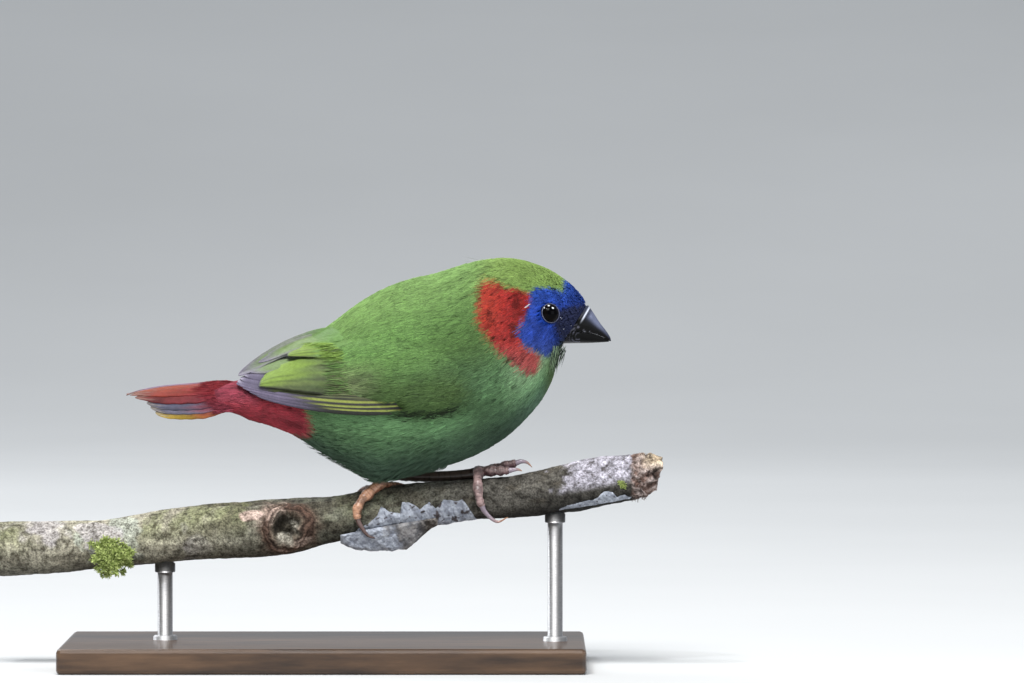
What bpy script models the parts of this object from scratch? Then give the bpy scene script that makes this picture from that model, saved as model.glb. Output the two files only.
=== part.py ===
"""A red-eared parrotfinch, life size, gripping a cut length of branch on a plain display stand.

The bird faces +X, +Z is up and -Y is its right side, the one that the picture shows. Metres.
The origin lies under the middle of the whole model, on the surface that the stand rests on.
"""

import math

import bmesh
import bpy
import numpy as np
from mathutils import Matrix, Vector

MM = 0.001
GAP = 0.3 * MM
RIGHT, LEFT = -1, 1

# Body outline, from the tail's root to the base of the bill. Each row is one section across the
# body: its top point (x, z), its bottom point (x, z) and its half width, in millimetres.
BODY_SECTIONS = [
    (-17.8, 57.1, -18.8, 50.6, 3.4),
    (-14.6, 58.2, -15.2, 49.0, 4.9),
    (-10.0, 60.8, -11.0, 47.8, 7.2),
    (-5.0, 64.2, -6.0, 45.8, 9.3),
    (1.0, 68.2, -0.6, 42.4, 11.6),
    (8.0, 73.3, 5.4, 39.4, 13.6),
    (15.0, 76.7, 12.6, 37.8, 14.9),
    (22.0, 78.4, 21.0, 39.0, 15.5),
    (27.4, 80.1, 29.0, 41.4, 15.3),
    (31.6, 81.1, 36.6, 45.8, 14.2),
    (35.4, 81.5, 42.2, 51.4, 11.8),
    (39.0, 81.2, 45.0, 55.8, 10.0),
    (42.4, 80.2, 46.2, 59.4, 8.9),
    (45.6, 78.8, 46.4, 61.9, 7.9),
    (48.4, 76.8, 46.9, 63.2, 6.6),
    (50.6, 74.5, 47.2, 63.8, 5.1),
    (52.3, 72.0, 47.6, 64.3, 3.7),
]
RUMP_FRONT = 2.9
TORSO_FRONT = 9.4
NECK_FRONT = 10.8
HEAD_FRONT = 16.0
LOW_FULLNESS = 0.1
BODY_SIDES = 28

EYE_X = 45.1 * MM
EYE_Z = 70.5 * MM
EYE_RADIUS = 2.0 * MM
EYE_SUNK = 1.26 * MM
LID_RADIUS = 1.98 * MM
LID_THICKNESS = 0.3 * MM

# Upper half of the bill, from base to tip: culmen (x, z), mouth line (x, z) and half width.
UPPER_BILL = [
    (52.65, 71.9, 49.5, 66.8, 3.4),
    (53.8, 70.2, 51.0, 66.72, 3.05),
    (54.9, 68.5, 52.6, 66.5, 2.45),
    (55.9, 66.95, 54.3, 66.1, 1.75),
    (56.75, 65.6, 56.0, 65.3, 0.9),
    (57.2, 64.8, 57.0, 64.7, 0.2),
]
# Lower half: mouth line (x, z), lower edge (x, z) and half width.
LOWER_BILL = [
    (49.5, 66.8, 47.95, 64.35, 3.3),
    (51.0, 66.72, 50.2, 64.4, 2.9),
    (52.6, 66.5, 52.2, 64.42, 2.3),
    (54.3, 66.1, 54.1, 64.5, 1.6),
    (55.8, 65.45, 55.7, 64.6, 0.8),
    (56.5, 65.1, 56.5, 64.7, 0.2),
]
BILL_SIDES = 10
NOSTRIL = (53.0 * MM, 1.75 * MM, 70.2 * MM)
NOSTRIL_RADIUS = 0.4 * MM

VANE_THICKNESS = 0.5 * MM
WING_CLEARANCE = 0.45 * MM
WING_SHINGLE = 0.6 * MM
HIGHEST_ON_FLANK = 0.965

# The shoulder and forearm of the folded wing: a lens on the flank.
WING_CORE_MIDDLE = (17.5, 57.0)
WING_CORE_LENGTH = 12.5 * MM
WING_CORE_DEPTH = 6.5 * MM
WING_CORE_TILT = math.radians(-15)
WING_CORE_RIM = 0.5 * MM
WING_CORE_BULGE = 0.9 * MM

# Tiers of the folded wing, from the lowest feather to the highest, in millimetres: how many, the
# (x, z) of the first and last root, of the first and last tip, their widths, how far their middles
# are raised, and level over the body. Then the fullness of the tip, and rows along and across.
WING_TIERS = [
    (6, (15.0, 51.9), (14.0, 53.8), (-12.5, 54.0), (-17.4, 56.2), (1.9, 2.2), (-1.3, -0.5), 0.0, 5, 6, 1),
    (3, (13.5, 53.8), (12.5, 56.2), (-14.6, 56.4), (-13.4, 57.1), (2.4, 2.8), (-0.5, -0.3), 0.1, 5, 6, 1),
    (3, (12.0, 57.4), (11.0, 62.2), (-12.8, 57.0), (-2.0, 65.6), (5.6, 3.4), (0.3, 0.5), 0.3, 4, 6, 2),
    (6, (18.5, 53.0), (16.5, 62.0), (9.5, 51.8), (8.0, 63.2), (2.9, 3.1), (0.0, 0.2), 0.65, 3, 4, 1),
    (5, (23.5, 53.6), (20.5, 61.0), (15.5, 52.8), (13.5, 62.2), (3.2, 3.2), (0.0, 0.2), 0.85, 3, 4, 1),
]

# The closed tail as a roof: x, ridge height, half width and depth below the ridge, millimetres.
TAIL_ROOF = [
    (-19.2, 57.0, 3.3, 6.2),
    (-23.0, 56.8, 4.2, 6.6),
    (-29.0, 56.4, 5.0, 6.6),
    (-33.0, 56.0, 4.9, 6.2),
    (-37.0, 55.2, 3.6, 4.4),
    (-40.0, 54.2, 2.4, 2.6),
]
TAIL_ROOT_X = -19.4 * MM
# Tips of the tail feathers, from the central pair to the outermost.
TAIL_TIPS = [-39.6, -38.8, -37.8, -35.4, -34.6, -33.6]
TAIL_HALF_VANE = 0.14
TAIL_SHINGLE = 0.45 * MM
TAIL_ROOT_SINK = 0.6 * MM

# Centre line of the branch: x, y, z and radius, in millimetres.
PERCH_LINE = [
    (-67.4, 3.0, 23.1, 5.7),
    (-55.0, 2.5, 23.4, 5.5),
    (-45.0, 2.0, 24.0, 5.2),
    (-35.0, 1.6, 25.2, 5.4),
    (-25.0, 1.2, 26.4, 5.5),
    (-15.0, 0.8, 27.2, 5.7),
    (-7.0, 0.4, 27.9, 5.8),
    (1.0, 0.0, 29.0, 5.1),
    (11.0, -0.5, 30.8, 4.8),
    (21.0, -0.9, 32.2, 4.4),
    (31.0, -1.5, 33.4, 4.2),
    (41.0, -2.4, 34.4, 4.7),
    (51.0, -3.5, 36.0, 5.0),
    (59.0, -4.8, 37.4, 4.6),
    (65.0, -5.9, 38.2, 4.3),
    (67.4, -6.4, 38.5, 3.2),
]
PERCH_SIDES = 16
PERCH_RINGS = 30
KNOT = (-7.6 * MM, -4.6 * MM, 27.9 * MM)
KNOT_RADIUS = 3.2 * MM
KNOT_THICKNESS = 1.2 * MM
MOSS = (-42.6 * MM, -1.4 * MM, 21.6 * MM)
MOSS_RADII = (4.8 * MM, 3.6 * MM, 4.3 * MM)
LICHEN = (12.6 * MM, -1.1 * MM, 26.2 * MM)
LICHEN_RADII = (8.6 * MM, 1.3 * MM, 3.2 * MM)
LICHEN_TILT = math.radians(-10)

# Thigh under the belly feathers: middle (x, distance from the mid plane, z) and its radii.
THIGH = (10.2 * MM, 6.4 * MM, 42.0 * MM)
THIGH_RADII = (6.2 * MM, 4.4 * MM, 4.1 * MM)
LEG_RADIUS = 1.05 * MM
HUB_RADIUS = 1.15 * MM
LEG_TOP = {"right": (12.2, -5.8, 39.6), "left": (11.8, 5.8, 38.9)}
HUB = {"right": (11.2, -3.4, 36.5), "left": (30.6, 0.6, 38.6)}
TOE_RADIUS = 0.85 * MM
TOE_TIP_RADIUS = 0.62 * MM
CLAW_RADIUS = 0.45 * MM
CLAW_TIP_RADIUS = 0.12 * MM

# Paths of the toes round the branch: x in millimetres, turn in degrees from the branch's top
# towards the bird's right, and height of the toe's axis over the bark in millimetres. The last
# three spots of each path are its claw's.
TOES = {
    "right": {
        "outer": [(9.2, 44, 1.2), (7.4, 62, 1.2), (6.6, 80, 1.15), (6.7, 94, 1.0),
                  (7.3, 110, 0.85), (8.9, 132, 0.9), (11.0, 140, 0.7)],
        "middle": [(13.0, 2, 1.2), (14.9, -22, 1.2), (16.4, -50, 1.15), (17.4, -72, 1.0),
                   (18.0, -88, 0.85), (18.9, -104, 1.0), (20.2, -114, 0.7)],
        "inner": [(11.6, 2, 1.3), (11.8, -30, 1.2), (12.2, -56, 1.1), (12.6, -78, 1.0),
                  (13.2, -92, 0.85), (14.2, -108, 1.0), (15.6, -116, 0.7)],
        "hind": [(9.6, 14, 1.2), (8.0, -14, 1.2), (6.8, -40, 1.15), (6.0, -62, 1.0),
                 (5.8, -78, 0.85), (6.2, -96, 1.0), (7.2, -110, 0.7)],
    },
    "left": {
        "outer": [(30.7, 8, 1.25), (30.6, 46, 1.2), (30.7, 78, 1.15), (31.4, 104, 1.0),
                  (32.2, 124, 0.9), (34.4, 146, 1.5), (36.6, 140, 0.9)],
        "middle": [(33.0, -14, 1.35), (35.0, -9, 1.5), (36.8, -6, 1.7), (38.2, -5, 1.85),
                   (39.2, -5, 2.0), (40.4, -5, 1.6), (41.4, -5, 0.5)],
        "inner": [(32.6, 12, 1.2), (34.2, 19, 1.15), (35.6, 20, 1.1), (36.8, 20, 1.0),
                  (37.6, 20, 1.0), (38.6, 20, 0.9), (39.4, 20, 0.45)],
        "hind": [(29.6, -44, 1.25), (28.6, -68, 1.2), (27.8, -90, 1.1), (27.4, -108, 1.0),
                 (27.6, -122, 0.85), (28.4, -138, 1.0), (29.8, -146, 0.7)],
    },
}

BASE_LENGTH = 104.0 * MM
BASE_WIDTH = 60.0 * MM
BASE_HEIGHT = 5.0 * MM
BASE_BEVEL = 0.8 * MM
ROD_RADIUS = 1.5 * MM
RODS = {"stand_rod_rear": -32.0 * MM, "stand_rod_front": 46.0 * MM}


def clear_scene():
    for thing in list(bpy.data.objects):
        bpy.data.objects.remove(thing)


def new_collection(name):
    made = bpy.data.collections.new(name)
    bpy.context.scene.collection.children.link(made)
    return made


def plain_material(name, colour, roughness, metallic=0.0):
    made = bpy.data.materials.new(name)
    made.use_nodes = True
    shader = made.node_tree.nodes["Principled BSDF"]
    shader.inputs["Base Color"].default_value = (*colour, 1.0)
    shader.inputs["Roughness"].default_value = roughness
    shader.inputs["Metallic"].default_value = metallic
    return made


def node(name, mesh, material):
    """A finished sub-part of the model."""
    mesh.name = name
    mesh.materials.clear()
    mesh.materials.append(material)
    mesh.shade_smooth()
    mesh.set_sharp_from_angle(angle=math.radians(35))
    thing = bpy.data.objects.new(name, mesh)
    PARTS.objects.link(thing)
    return thing


def piece(data):
    """A helper object, to be joined to a sub-part or cut from one."""
    thing = bpy.data.objects.new("piece", data)
    thing.hide_render = True
    thing.display_type = "WIRE"
    HELPERS.objects.link(thing)
    return thing


def mesh_from(shape):
    bmesh.ops.recalc_face_normals(shape, faces=shape.faces)
    mesh = bpy.data.meshes.new("shape")
    shape.to_mesh(mesh)
    shape.free()
    return mesh


def mesh_of(points, faces):
    mesh = bpy.data.meshes.new("shape")
    mesh.from_pydata([tuple(p) for p in points], [], faces)
    shape = bmesh.new()
    shape.from_mesh(mesh)
    bpy.data.meshes.remove(mesh)
    return mesh_from(shape)


def loft(rings):
    """A closed mesh through rings of equal count, with a flat cap at each end."""
    sides = len(rings[0])
    points = [p for ring in rings for p in ring]
    faces = []
    for i in range(len(rings) - 1):
        for j in range(sides):
            k = (j + 1) % sides
            a, b = i * sides + j, i * sides + k
            faces.append((a, b, b + sides, a + sides))
    faces.append(tuple(range(sides)))
    faces.append(tuple(range(len(points) - sides, len(points))))
    return mesh_of(points, faces)


def ellipsoid(middle, radii, tilt=0.0, segments=16, rings=8):
    """A sphere stretched to three radii and turned about the Y axis."""
    shape = bmesh.new()
    bmesh.ops.create_uvsphere(shape, u_segments=segments, v_segments=rings, radius=1.0)
    place = Matrix.Translation(middle) @ Matrix.Rotation(tilt, 4, "Y") @ Matrix.Diagonal((*radii, 1.0))
    bmesh.ops.transform(shape, matrix=place, verts=shape.verts)
    return piece(mesh_from(shape))


def through(rows, position):
    """The row at a fractional index, on a smooth curve through all rows."""
    rows = np.asarray(rows, float)
    i = int(min(max(math.floor(position), 0), len(rows) - 2))
    t = position - i
    before = rows[i - 1] if i > 0 else 2 * rows[i] - rows[i + 1]
    after = rows[i + 2] if i + 2 < len(rows) else 2 * rows[i + 1] - rows[i]
    slope = rows[i + 1] - before
    bend = 2 * before - 5 * rows[i] + 4 * rows[i + 1] - after
    twist = 3 * rows[i] - before - 3 * rows[i + 1] + after
    return (2 * rows[i] + slope * t + bend * t**2 + twist * t**3) / 2


def row_at(rows, x):
    """The row of a table whose first column, in millimetres, is x in metres."""
    columns = np.asarray(rows, float)
    order = np.argsort(columns[:, 0])
    position = np.interp(x / MM, columns[order, 0], order)
    return through(rows, position) * MM


def evaluated_mesh(thing):
    graph = bpy.context.evaluated_depsgraph_get()
    graph.update()
    return bpy.data.meshes.new_from_object(thing.evaluated_get(graph))


def tube(points, radii):
    """A closed tube along the points, as a helper object."""
    curve = bpy.data.curves.new("tube", "CURVE")
    curve.dimensions = "3D"
    curve.bevel_depth = 1.0
    curve.bevel_resolution = 2
    curve.use_fill_caps = True
    spline = curve.splines.new("POLY")
    spline.points.add(len(points) - 1)
    for spot, place, radius in zip(spline.points, points, radii):
        spot.co = (*place, 1.0)
        spot.radius = radius
    line = piece(curve)
    mesh = evaluated_mesh(line)
    bpy.data.objects.remove(line)
    shape = bmesh.new()
    shape.from_mesh(mesh)
    bmesh.ops.remove_doubles(shape, verts=shape.verts, dist=0.001 * MM)
    return piece(mesh_from(shape))


def keep_largest(mesh):
    """Drops every closed surface of the mesh but the largest."""
    shape = bmesh.new()
    shape.from_mesh(mesh)
    bmesh.ops.triangulate(shape, faces=shape.faces)
    unseen = set(shape.faces)
    groups = []
    while unseen:
        front = [unseen.pop()]
        group = set(front)
        while front:
            near = {other for edge in front.pop().edges for other in edge.link_faces} & unseen
            unseen -= near
            group |= near
            front.extend(near)
        groups.append(group)
    largest = max(groups, key=lambda group: sum(face.calc_area() for face in group))
    scraps = [face for face in shape.faces if face not in largest]
    bmesh.ops.delete(shape, geom=scraps, context="FACES")
    return mesh_from(shape)


def mirrored(mesh):
    """A copy of a mesh for the other side of the bird."""
    shape = bmesh.new()
    shape.from_mesh(mesh)
    bmesh.ops.scale(shape, vec=(1, -1, 1), verts=shape.verts)
    return mesh_from(shape)


def combine(body, others, operation, solver="EXACT"):
    """The mesh of a body joined to, or cut by, closed helper objects, which are used up."""
    group = bpy.data.collections.new("operands")
    for other in others:
        group.objects.link(other)
    step = body.modifiers.new("combine", "BOOLEAN")
    step.operation = operation
    step.operand_type = "COLLECTION"
    step.collection = group
    step.solver = solver
    mesh = keep_largest(evaluated_mesh(body))
    for used in [body, *others]:
        bpy.data.objects.remove(used)
    bpy.data.collections.remove(group)
    return mesh


def section_at(station):
    """Top, bottom (x, z each) and half width of the body at a station."""
    row = through(BODY_SECTIONS, station) * MM
    return row[0:2], row[2:4], row[4]


def body_point(station, up, raised, side):
    """A point on the body, up from -1 at the belly line to 1 at the back line."""
    top, bottom, half_width = section_at(station)
    reach = (top - bottom) / 2
    spot = (top + bottom) / 2 + reach * (1 + raised / np.linalg.norm(reach)) * up
    across = (half_width + raised) * math.sqrt(max(0.0, 1 - up * up)) * (1 - LOW_FULLNESS * up)
    return Vector((spot[0], side * across, spot[1]))


def body_ring(station, shift):
    """One section of the body, moved along its own normal."""
    top, bottom, _ = section_at(station)
    lean = (top - bottom) / np.linalg.norm(top - bottom)
    forward = Vector((lean[1], 0, -lean[0]))
    ring = []
    for i in range(BODY_SIDES):
        turn = 2 * math.pi * i / BODY_SIDES
        side = LEFT if math.sin(turn) >= 0 else RIGHT
        ring.append(body_point(station, math.cos(turn), 0.0, side) + forward * shift)
    return ring


def body_mesh(start, end, count):
    """The body between two stations, short of each by half a gap."""
    rings = []
    for i in range(count):
        shift = GAP / 2 * ((i == 0) - (i == count - 1))
        rings.append(body_ring(start + (end - start) * i / (count - 1), shift))
    return loft(rings)


def station_of(x, z):
    """The station whose section line passes through a point of the side view."""
    low, high = 0.0, HEAD_FRONT
    for _ in range(40):
        middle = (low + high) / 2
        top, bottom, _ = section_at(middle)
        along, offset = top - bottom, np.array((x, z)) - bottom
        ahead = offset[0] * along[1] - offset[1] * along[0]
        low, high = (middle, high) if ahead > 0 else (low, middle)
    return (low + high) / 2


def side_point(x, z, lift, side):
    """The point, raised over the body's side by lift, that the side view shows at x and z."""
    station = station_of(x, z)
    top, bottom, _ = section_at(station)
    reach = (top - bottom) / 2
    length = np.linalg.norm(reach)
    up = float(np.dot(np.array((x, z)) - (top + bottom) / 2, reach) / length / (length + lift))
    return body_point(station, min(max(up, -HIGHEST_ON_FLANK), HIGHEST_ON_FLANK), lift, side)


def eye_frame(side):
    """Middle of the eye's opening on the head, and the direction in which the eye looks."""
    step = 0.5 * MM
    spot = side_point(EYE_X, EYE_Z, 0.0, side)
    ahead = side_point(EYE_X + step, EYE_Z, 0.0, side) - side_point(EYE_X - step, EYE_Z, 0.0, side)
    above = side_point(EYE_X, EYE_Z + step, 0.0, side) - side_point(EYE_X, EYE_Z - step, 0.0, side)
    outward = ahead.cross(above).normalized()
    return spot, outward if outward.y * side > 0 else -outward


def eye_ball(side, radius):
    spot, outward = eye_frame(side)
    middle = spot - outward * EYE_SUNK
    return ellipsoid(middle, (radius, radius, radius), segments=16, rings=10)


def ring_tube(middle, axis, radius, thickness, count=20):
    """A closed ring round an axis."""
    first = axis.orthogonal().normalized()
    second = axis.cross(first).normalized()
    rings = []
    for i in range(count):
        turn = 2 * math.pi * i / count
        out = first * math.cos(turn) + second * math.sin(turn)
        spot = middle + out * radius
        corners = [math.pi / 3 * k for k in range(6)]
        rings.append([spot + (out * math.cos(c) + axis * math.sin(c)) * thickness for c in corners])
    points = [p for ring in rings for p in ring]
    faces = []
    for i in range(count):
        for j in range(6):
            a, b = i * 6 + j, i * 6 + (j + 1) % 6
            c, d = (b + 6) % len(points), (a + 6) % len(points)
            faces.append((a, b, c, d))
    return piece(mesh_of(points, faces))


def build_head():
    """The head with a rim of lid round each eye's socket, and a groove at the mouth's corners."""
    skull = piece(body_mesh(NECK_FRONT, HEAD_FRONT, 12))
    lids = []
    for side in (RIGHT, LEFT):
        spot, outward = eye_frame(side)
        lids.append(ring_tube(spot, outward, LID_RADIUS, LID_THICKNESS))
    with_lids = piece(combine(skull, lids, "UNION"))
    sockets = [eye_ball(side, EYE_RADIUS + GAP) for side in (RIGHT, LEFT)]
    corner = UPPER_BILL[0]
    groove_radii = (1.1 * MM, 5.0 * MM, GAP / 2)
    groove = ellipsoid((corner[2] * MM, 0, corner[3] * MM), groove_radii, math.radians(8))
    return combine(with_lids, [*sockets, groove], "DIFFERENCE")


def bill_half(rows, count, over):
    """Half of the bill: an arch over, or under, the mouth line, flat along the line."""
    rings = []
    for i in range(count):
        row = through(rows, (len(rows) - 1) * i / (count - 1)) * MM
        mouth, edge = (row[2:4], row[0:2]) if over else (row[0:2], row[2:4])
        mouth = mouth + np.array((0.0, GAP / 2 if over else -GAP / 2))
        ring = []
        for k in range(BILL_SIDES + 1):
            turn = math.pi * k / BILL_SIDES
            spot = mouth + (edge - mouth) * math.sin(turn)
            ring.append(Vector((spot[0], row[4] * math.cos(turn), spot[1])))
        rings.append(ring)
    return loft(rings)


def build_upper_bill():
    x, y, z = NOSTRIL
    pit = (NOSTRIL_RADIUS * 1.3, NOSTRIL_RADIUS, NOSTRIL_RADIUS)
    nostrils = [ellipsoid((x, side * y, z), pit, segments=10, rings=6) for side in (RIGHT, LEFT)]
    return combine(piece(bill_half(UPPER_BILL, 9, True)), nostrils, "DIFFERENCE")


def vane_width(t, full, fullness):
    """Width of a feather at t along it, from a narrower root to a rounded tip."""
    rise = 0.55 + 0.45 * min(1.0, t / 0.3)
    fall = (1 - t**fullness) ** 0.5
    return full * rise * max(fall, 0.15)


def vane_sheet(rows):
    """A closed plate over rows of points, its two faces split into triangles alike."""
    columns = len(rows[0])
    faces = []
    for i in range(len(rows) - 1):
        for j in range(columns - 1):
            a = i * columns + j
            b = a + columns
            faces.append((a, b, b + 1))
            faces.append((a, b + 1, a + 1))
    sheet = piece(mesh_of([p for row in rows for p in row], faces))
    wall = sheet.modifiers.new("thickness", "SOLIDIFY")
    wall.thickness = VANE_THICKNESS
    wall.offset = 0.0
    mesh = evaluated_mesh(sheet)
    bpy.data.objects.remove(sheet)
    shape = bmesh.new()
    shape.from_mesh(mesh)
    return piece(mesh_from(shape))


def wing_vane(side, root, tip, width, level, fullness=5, bow=0.0, lengths=6, columns=1):
    """A feather on the flank between two points of the side view. Its lower edge lies outermost.

    Root and tip are (x, z) in millimetres, as are the width, the level over the body and the bow,
    by which the feather's middle is raised.
    """
    root, tip = np.array(root) * MM, np.array(tip) * MM
    along = (tip - root) / np.linalg.norm(tip - root)
    across = np.array((along[1], -along[0]))
    rows = []
    for i in range(lengths):
        t = i / (lengths - 1)
        middle = root + (tip - root) * t + across * bow * MM * math.sin(math.pi * t)
        breadth = vane_width(t, width * MM, fullness)
        shingle = WING_SHINGLE * min(1.0, 3 * t)
        row = []
        for j in range(columns + 1):
            share = j / columns
            spot = middle + across * breadth * (share - 0.5)
            lift = WING_CLEARANCE + level * MM + VANE_THICKNESS / 2 + shingle * (1 - share)
            row.append(side_point(spot[0], spot[1], lift, side))
        rows.append(row)
    return vane_sheet(rows)


def wing_core(side):
    """A lens on the flank, of equal triangles on both faces."""
    rings_out, spokes = 3, 14
    middle = np.array(WING_CORE_MIDDLE) * MM
    long_way = np.array((math.cos(WING_CORE_TILT), math.sin(WING_CORE_TILT)))
    deep_way = np.array((-long_way[1], long_way[0]))
    points = []
    for outer in (False, True):
        for ring in range(rings_out + 1):
            share = ring / rings_out
            height = WING_CORE_RIM + WING_CORE_BULGE * (1 - share**3) if outer else 0.0
            for j in range(spokes if ring else 1):
                turn = 2 * math.pi * j / spokes
                spot = middle + long_way * WING_CORE_LENGTH * share * math.cos(turn)
                spot = spot + deep_way * WING_CORE_DEPTH * share * math.sin(turn)
                points.append(side_point(spot[0], spot[1], WING_CLEARANCE + height, side))
    layer = len(points) // 2
    rim = layer - spokes
    faces = []
    for j in range(spokes):
        k = (j + 1) % spokes
        for first in (0, layer):
            faces.append((first, first + 1 + j, first + 1 + k))
            for ring in range(rings_out - 1):
                a = first + 1 + ring * spokes
                faces.append((a + j, a + spokes + j, a + spokes + k))
                faces.append((a + j, a + spokes + k, a + k))
        faces.append((rim + j, rim + k, layer + rim + k, layer + rim + j))
    return piece(mesh_of(points, faces))


def between(ends, share):
    """Root, tip, width and bow of a feather that lies between a tier's first and last."""
    first_root, last_root, first_tip, last_tip, widths, bows = ends
    pairs = ((first_root, last_root), (first_tip, last_tip), widths, bows)
    return [np.array(first) * (1 - share) + np.array(last) * share for first, last in pairs]


def build_wing(side):
    """The folded wing: tiers of feathers that overlap, rooted in its shoulder."""
    vanes = []
    for count, *ends, level, fullness, lengths, columns in WING_TIERS:
        for i in range(count):
            share = i / (count - 1)
            root, tip, width, bow = between(ends, share)
            vanes.append(wing_vane(side, root, tip, width, level, fullness, bow, lengths, columns))
    return combine(wing_core(side), vanes, "UNION", "MANIFOLD")


def tail_point(x, share, sink):
    """A point on the closed tail's roof, share from 0 at the ridge to 1 at the lower edge."""
    _, ridge, half_width, depth = row_at(TAIL_ROOF, x)
    turn = share * math.pi / 2
    y = (half_width - sink) * math.sin(turn)
    z = ridge - sink - (depth - sink) * (1 - math.cos(turn))
    return Vector((x, y, z))


def tail_vane(pair, side):
    """One tail feather. Its edge towards the ridge is tucked under the next one in."""
    tip = TAIL_TIPS[pair] * MM
    centre = (pair + 0.5) / len(TAIL_TIPS)
    fullness = 2 if pair < 3 else 4
    rows = []
    for i in range(7):
        t = i / 6
        half = vane_width(t, TAIL_HALF_VANE, fullness)
        sink = TAIL_ROOT_SINK * max(0.0, 1 - 4 * t) + (0.2 * MM if side == RIGHT and pair == 0 else 0.0)
        row = []
        for j in range(3):
            across = j / 2
            share = centre + half * (2 * across - 1)
            depth = sink + TAIL_SHINGLE * (1 - across)
            row.append(tail_point(TAIL_ROOT_X + (tip - TAIL_ROOT_X) * t, side * share, depth))
        rows.append(row)
    return vane_sheet(rows)


def build_tail():
    """The closed tail: six pairs of feathers, the central pair longest and on top."""
    vanes = [tail_vane(pair, side) for pair in range(len(TAIL_TIPS)) for side in (RIGHT, LEFT)]
    return combine(tail_core(), vanes, "UNION")


def tail_core():
    """The root that the tail feathers grow from: the rump's last section, drawn out and in."""
    ring = body_ring(0.0, -GAP / 2)
    middle = sum(ring, Vector()) / len(ring)
    rings = []
    for back, size in ((0.0, 1.0), (2.6, 0.96), (4.6, 0.78), (6.2, 0.4)):
        rings.append([middle + (spot - middle) * size - Vector((back * MM, 0, 0)) for spot in ring])
    return piece(loft(rings))


def perch_point(x, turn, lift):
    """A point over the bark: x, a turn in degrees from the top to the bird's right, and a lift."""
    _, y, z, radius = row_at(PERCH_LINE, x)
    turn = math.radians(turn)
    return Vector((x, y - (radius + lift) * math.sin(turn), z + (radius + lift) * math.cos(turn)))


def build_perch():
    """The branch, with a knot, a cushion of moss and a flake of lichen that hangs below."""
    start, end = PERCH_LINE[0][0] * MM, PERCH_LINE[-1][0] * MM
    rings = []
    for i in range(PERCH_RINGS):
        x = start + (end - start) * i / (PERCH_RINGS - 1)
        rings.append([perch_point(x, 360 * j / PERCH_SIDES, 0.0) for j in range(PERCH_SIDES)])
    extras = [
        ring_tube(Vector(KNOT), Vector((0, 1, 0)), KNOT_RADIUS, KNOT_THICKNESS, count=16),
        ellipsoid(KNOT, (1.6 * MM, 1.3 * MM, 1.6 * MM), segments=10, rings=6),
        ellipsoid(MOSS, MOSS_RADII, segments=14, rings=8),
        ellipsoid(LICHEN, LICHEN_RADII, LICHEN_TILT, segments=14, rings=8),
    ]
    return combine(piece(loft(rings)), extras, "UNION")


def smooth_points(spots, start, end, count):
    """Points of the smooth curve through the spots, from one fractional index to another."""
    return [Vector(through(spots, start + (end - start) * i / (count - 1))) for i in range(count)]


def foot_pieces(which):
    """A foot with its four toes as one mesh, and the four claws' meshes by toe."""
    hub = Vector(HUB[which]) * MM
    toes, claws = [], {}
    for toe, path in TOES[which].items():
        spots = [hub] + [perch_point(x * MM, turn, lift * MM) for x, turn, lift in path]
        last = len(spots) - 1
        knuckle = last - 3
        toe_line = smooth_points(spots, 0, knuckle, 9)
        toe_radii = []
        for i in range(9):
            t = i / 8
            pad = 1 + 0.08 * math.cos(6 * math.pi * t)
            toe_radii.append((TOE_RADIUS + (TOE_TIP_RADIUS - TOE_RADIUS) * t) * pad)
        toes.append(tube(toe_line, toe_radii))
        space = (spots[knuckle + 1] - spots[knuckle]).length
        claw_line = smooth_points(spots, knuckle + GAP / space, last, 8)
        claw_radii = [CLAW_RADIUS + (CLAW_TIP_RADIUS - CLAW_RADIUS) * (i / 7) ** 1.5 for i in range(8)]
        claw = tube(claw_line, claw_radii)
        claws[toe] = evaluated_mesh(claw)
        bpy.data.objects.remove(claw)
    middle = ellipsoid(hub, (HUB_RADIUS, HUB_RADIUS, HUB_RADIUS), segments=14, rings=8)
    return combine(middle, toes, "UNION"), claws


def leg(which, extra=0.0):
    """The bare shank, from inside the thigh's feathers down to the foot."""
    top, hub = Vector(LEG_TOP[which]) * MM, Vector(HUB[which]) * MM
    foot_end = hub + (top - hub).normalized() * (HUB_RADIUS + GAP)
    count = 7
    points = [top + (foot_end - top) * i / (count - 1) for i in range(count)]
    radii = [LEG_RADIUS * (1.0 - 0.12 * math.sin(math.pi * i / (count - 1))) + extra for i in range(count)]
    return tube(points, radii)


def thigh(which, extra=0.0):
    side = RIGHT if which == "right" else LEFT
    x, y, z = THIGH
    return ellipsoid((x, side * y, z), [radius + extra for radius in THIGH_RADII])


def stand_base():
    shape = bmesh.new()
    bmesh.ops.create_cube(shape, size=1.0)
    size = Matrix.Diagonal((BASE_LENGTH, BASE_WIDTH, BASE_HEIGHT, 1.0))
    bmesh.ops.transform(shape, matrix=Matrix.Translation((0, 0, BASE_HEIGHT / 2)) @ size, verts=shape.verts)
    return mesh_from(shape)


def rod(x):
    """An upright rod from the base to just under the bark."""
    _, y, z, radius = row_at(PERCH_LINE, x)
    foot = BASE_HEIGHT + GAP
    height = z - radius - ROD_RADIUS * 0.2 - GAP - foot
    shape = bmesh.new()
    bmesh.ops.create_cone(shape, cap_ends=True, segments=24, radius1=ROD_RADIUS, radius2=ROD_RADIUS,
                          depth=height, matrix=Matrix.Translation((x, y, foot + height / 2)))
    return mesh_from(shape)


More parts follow.
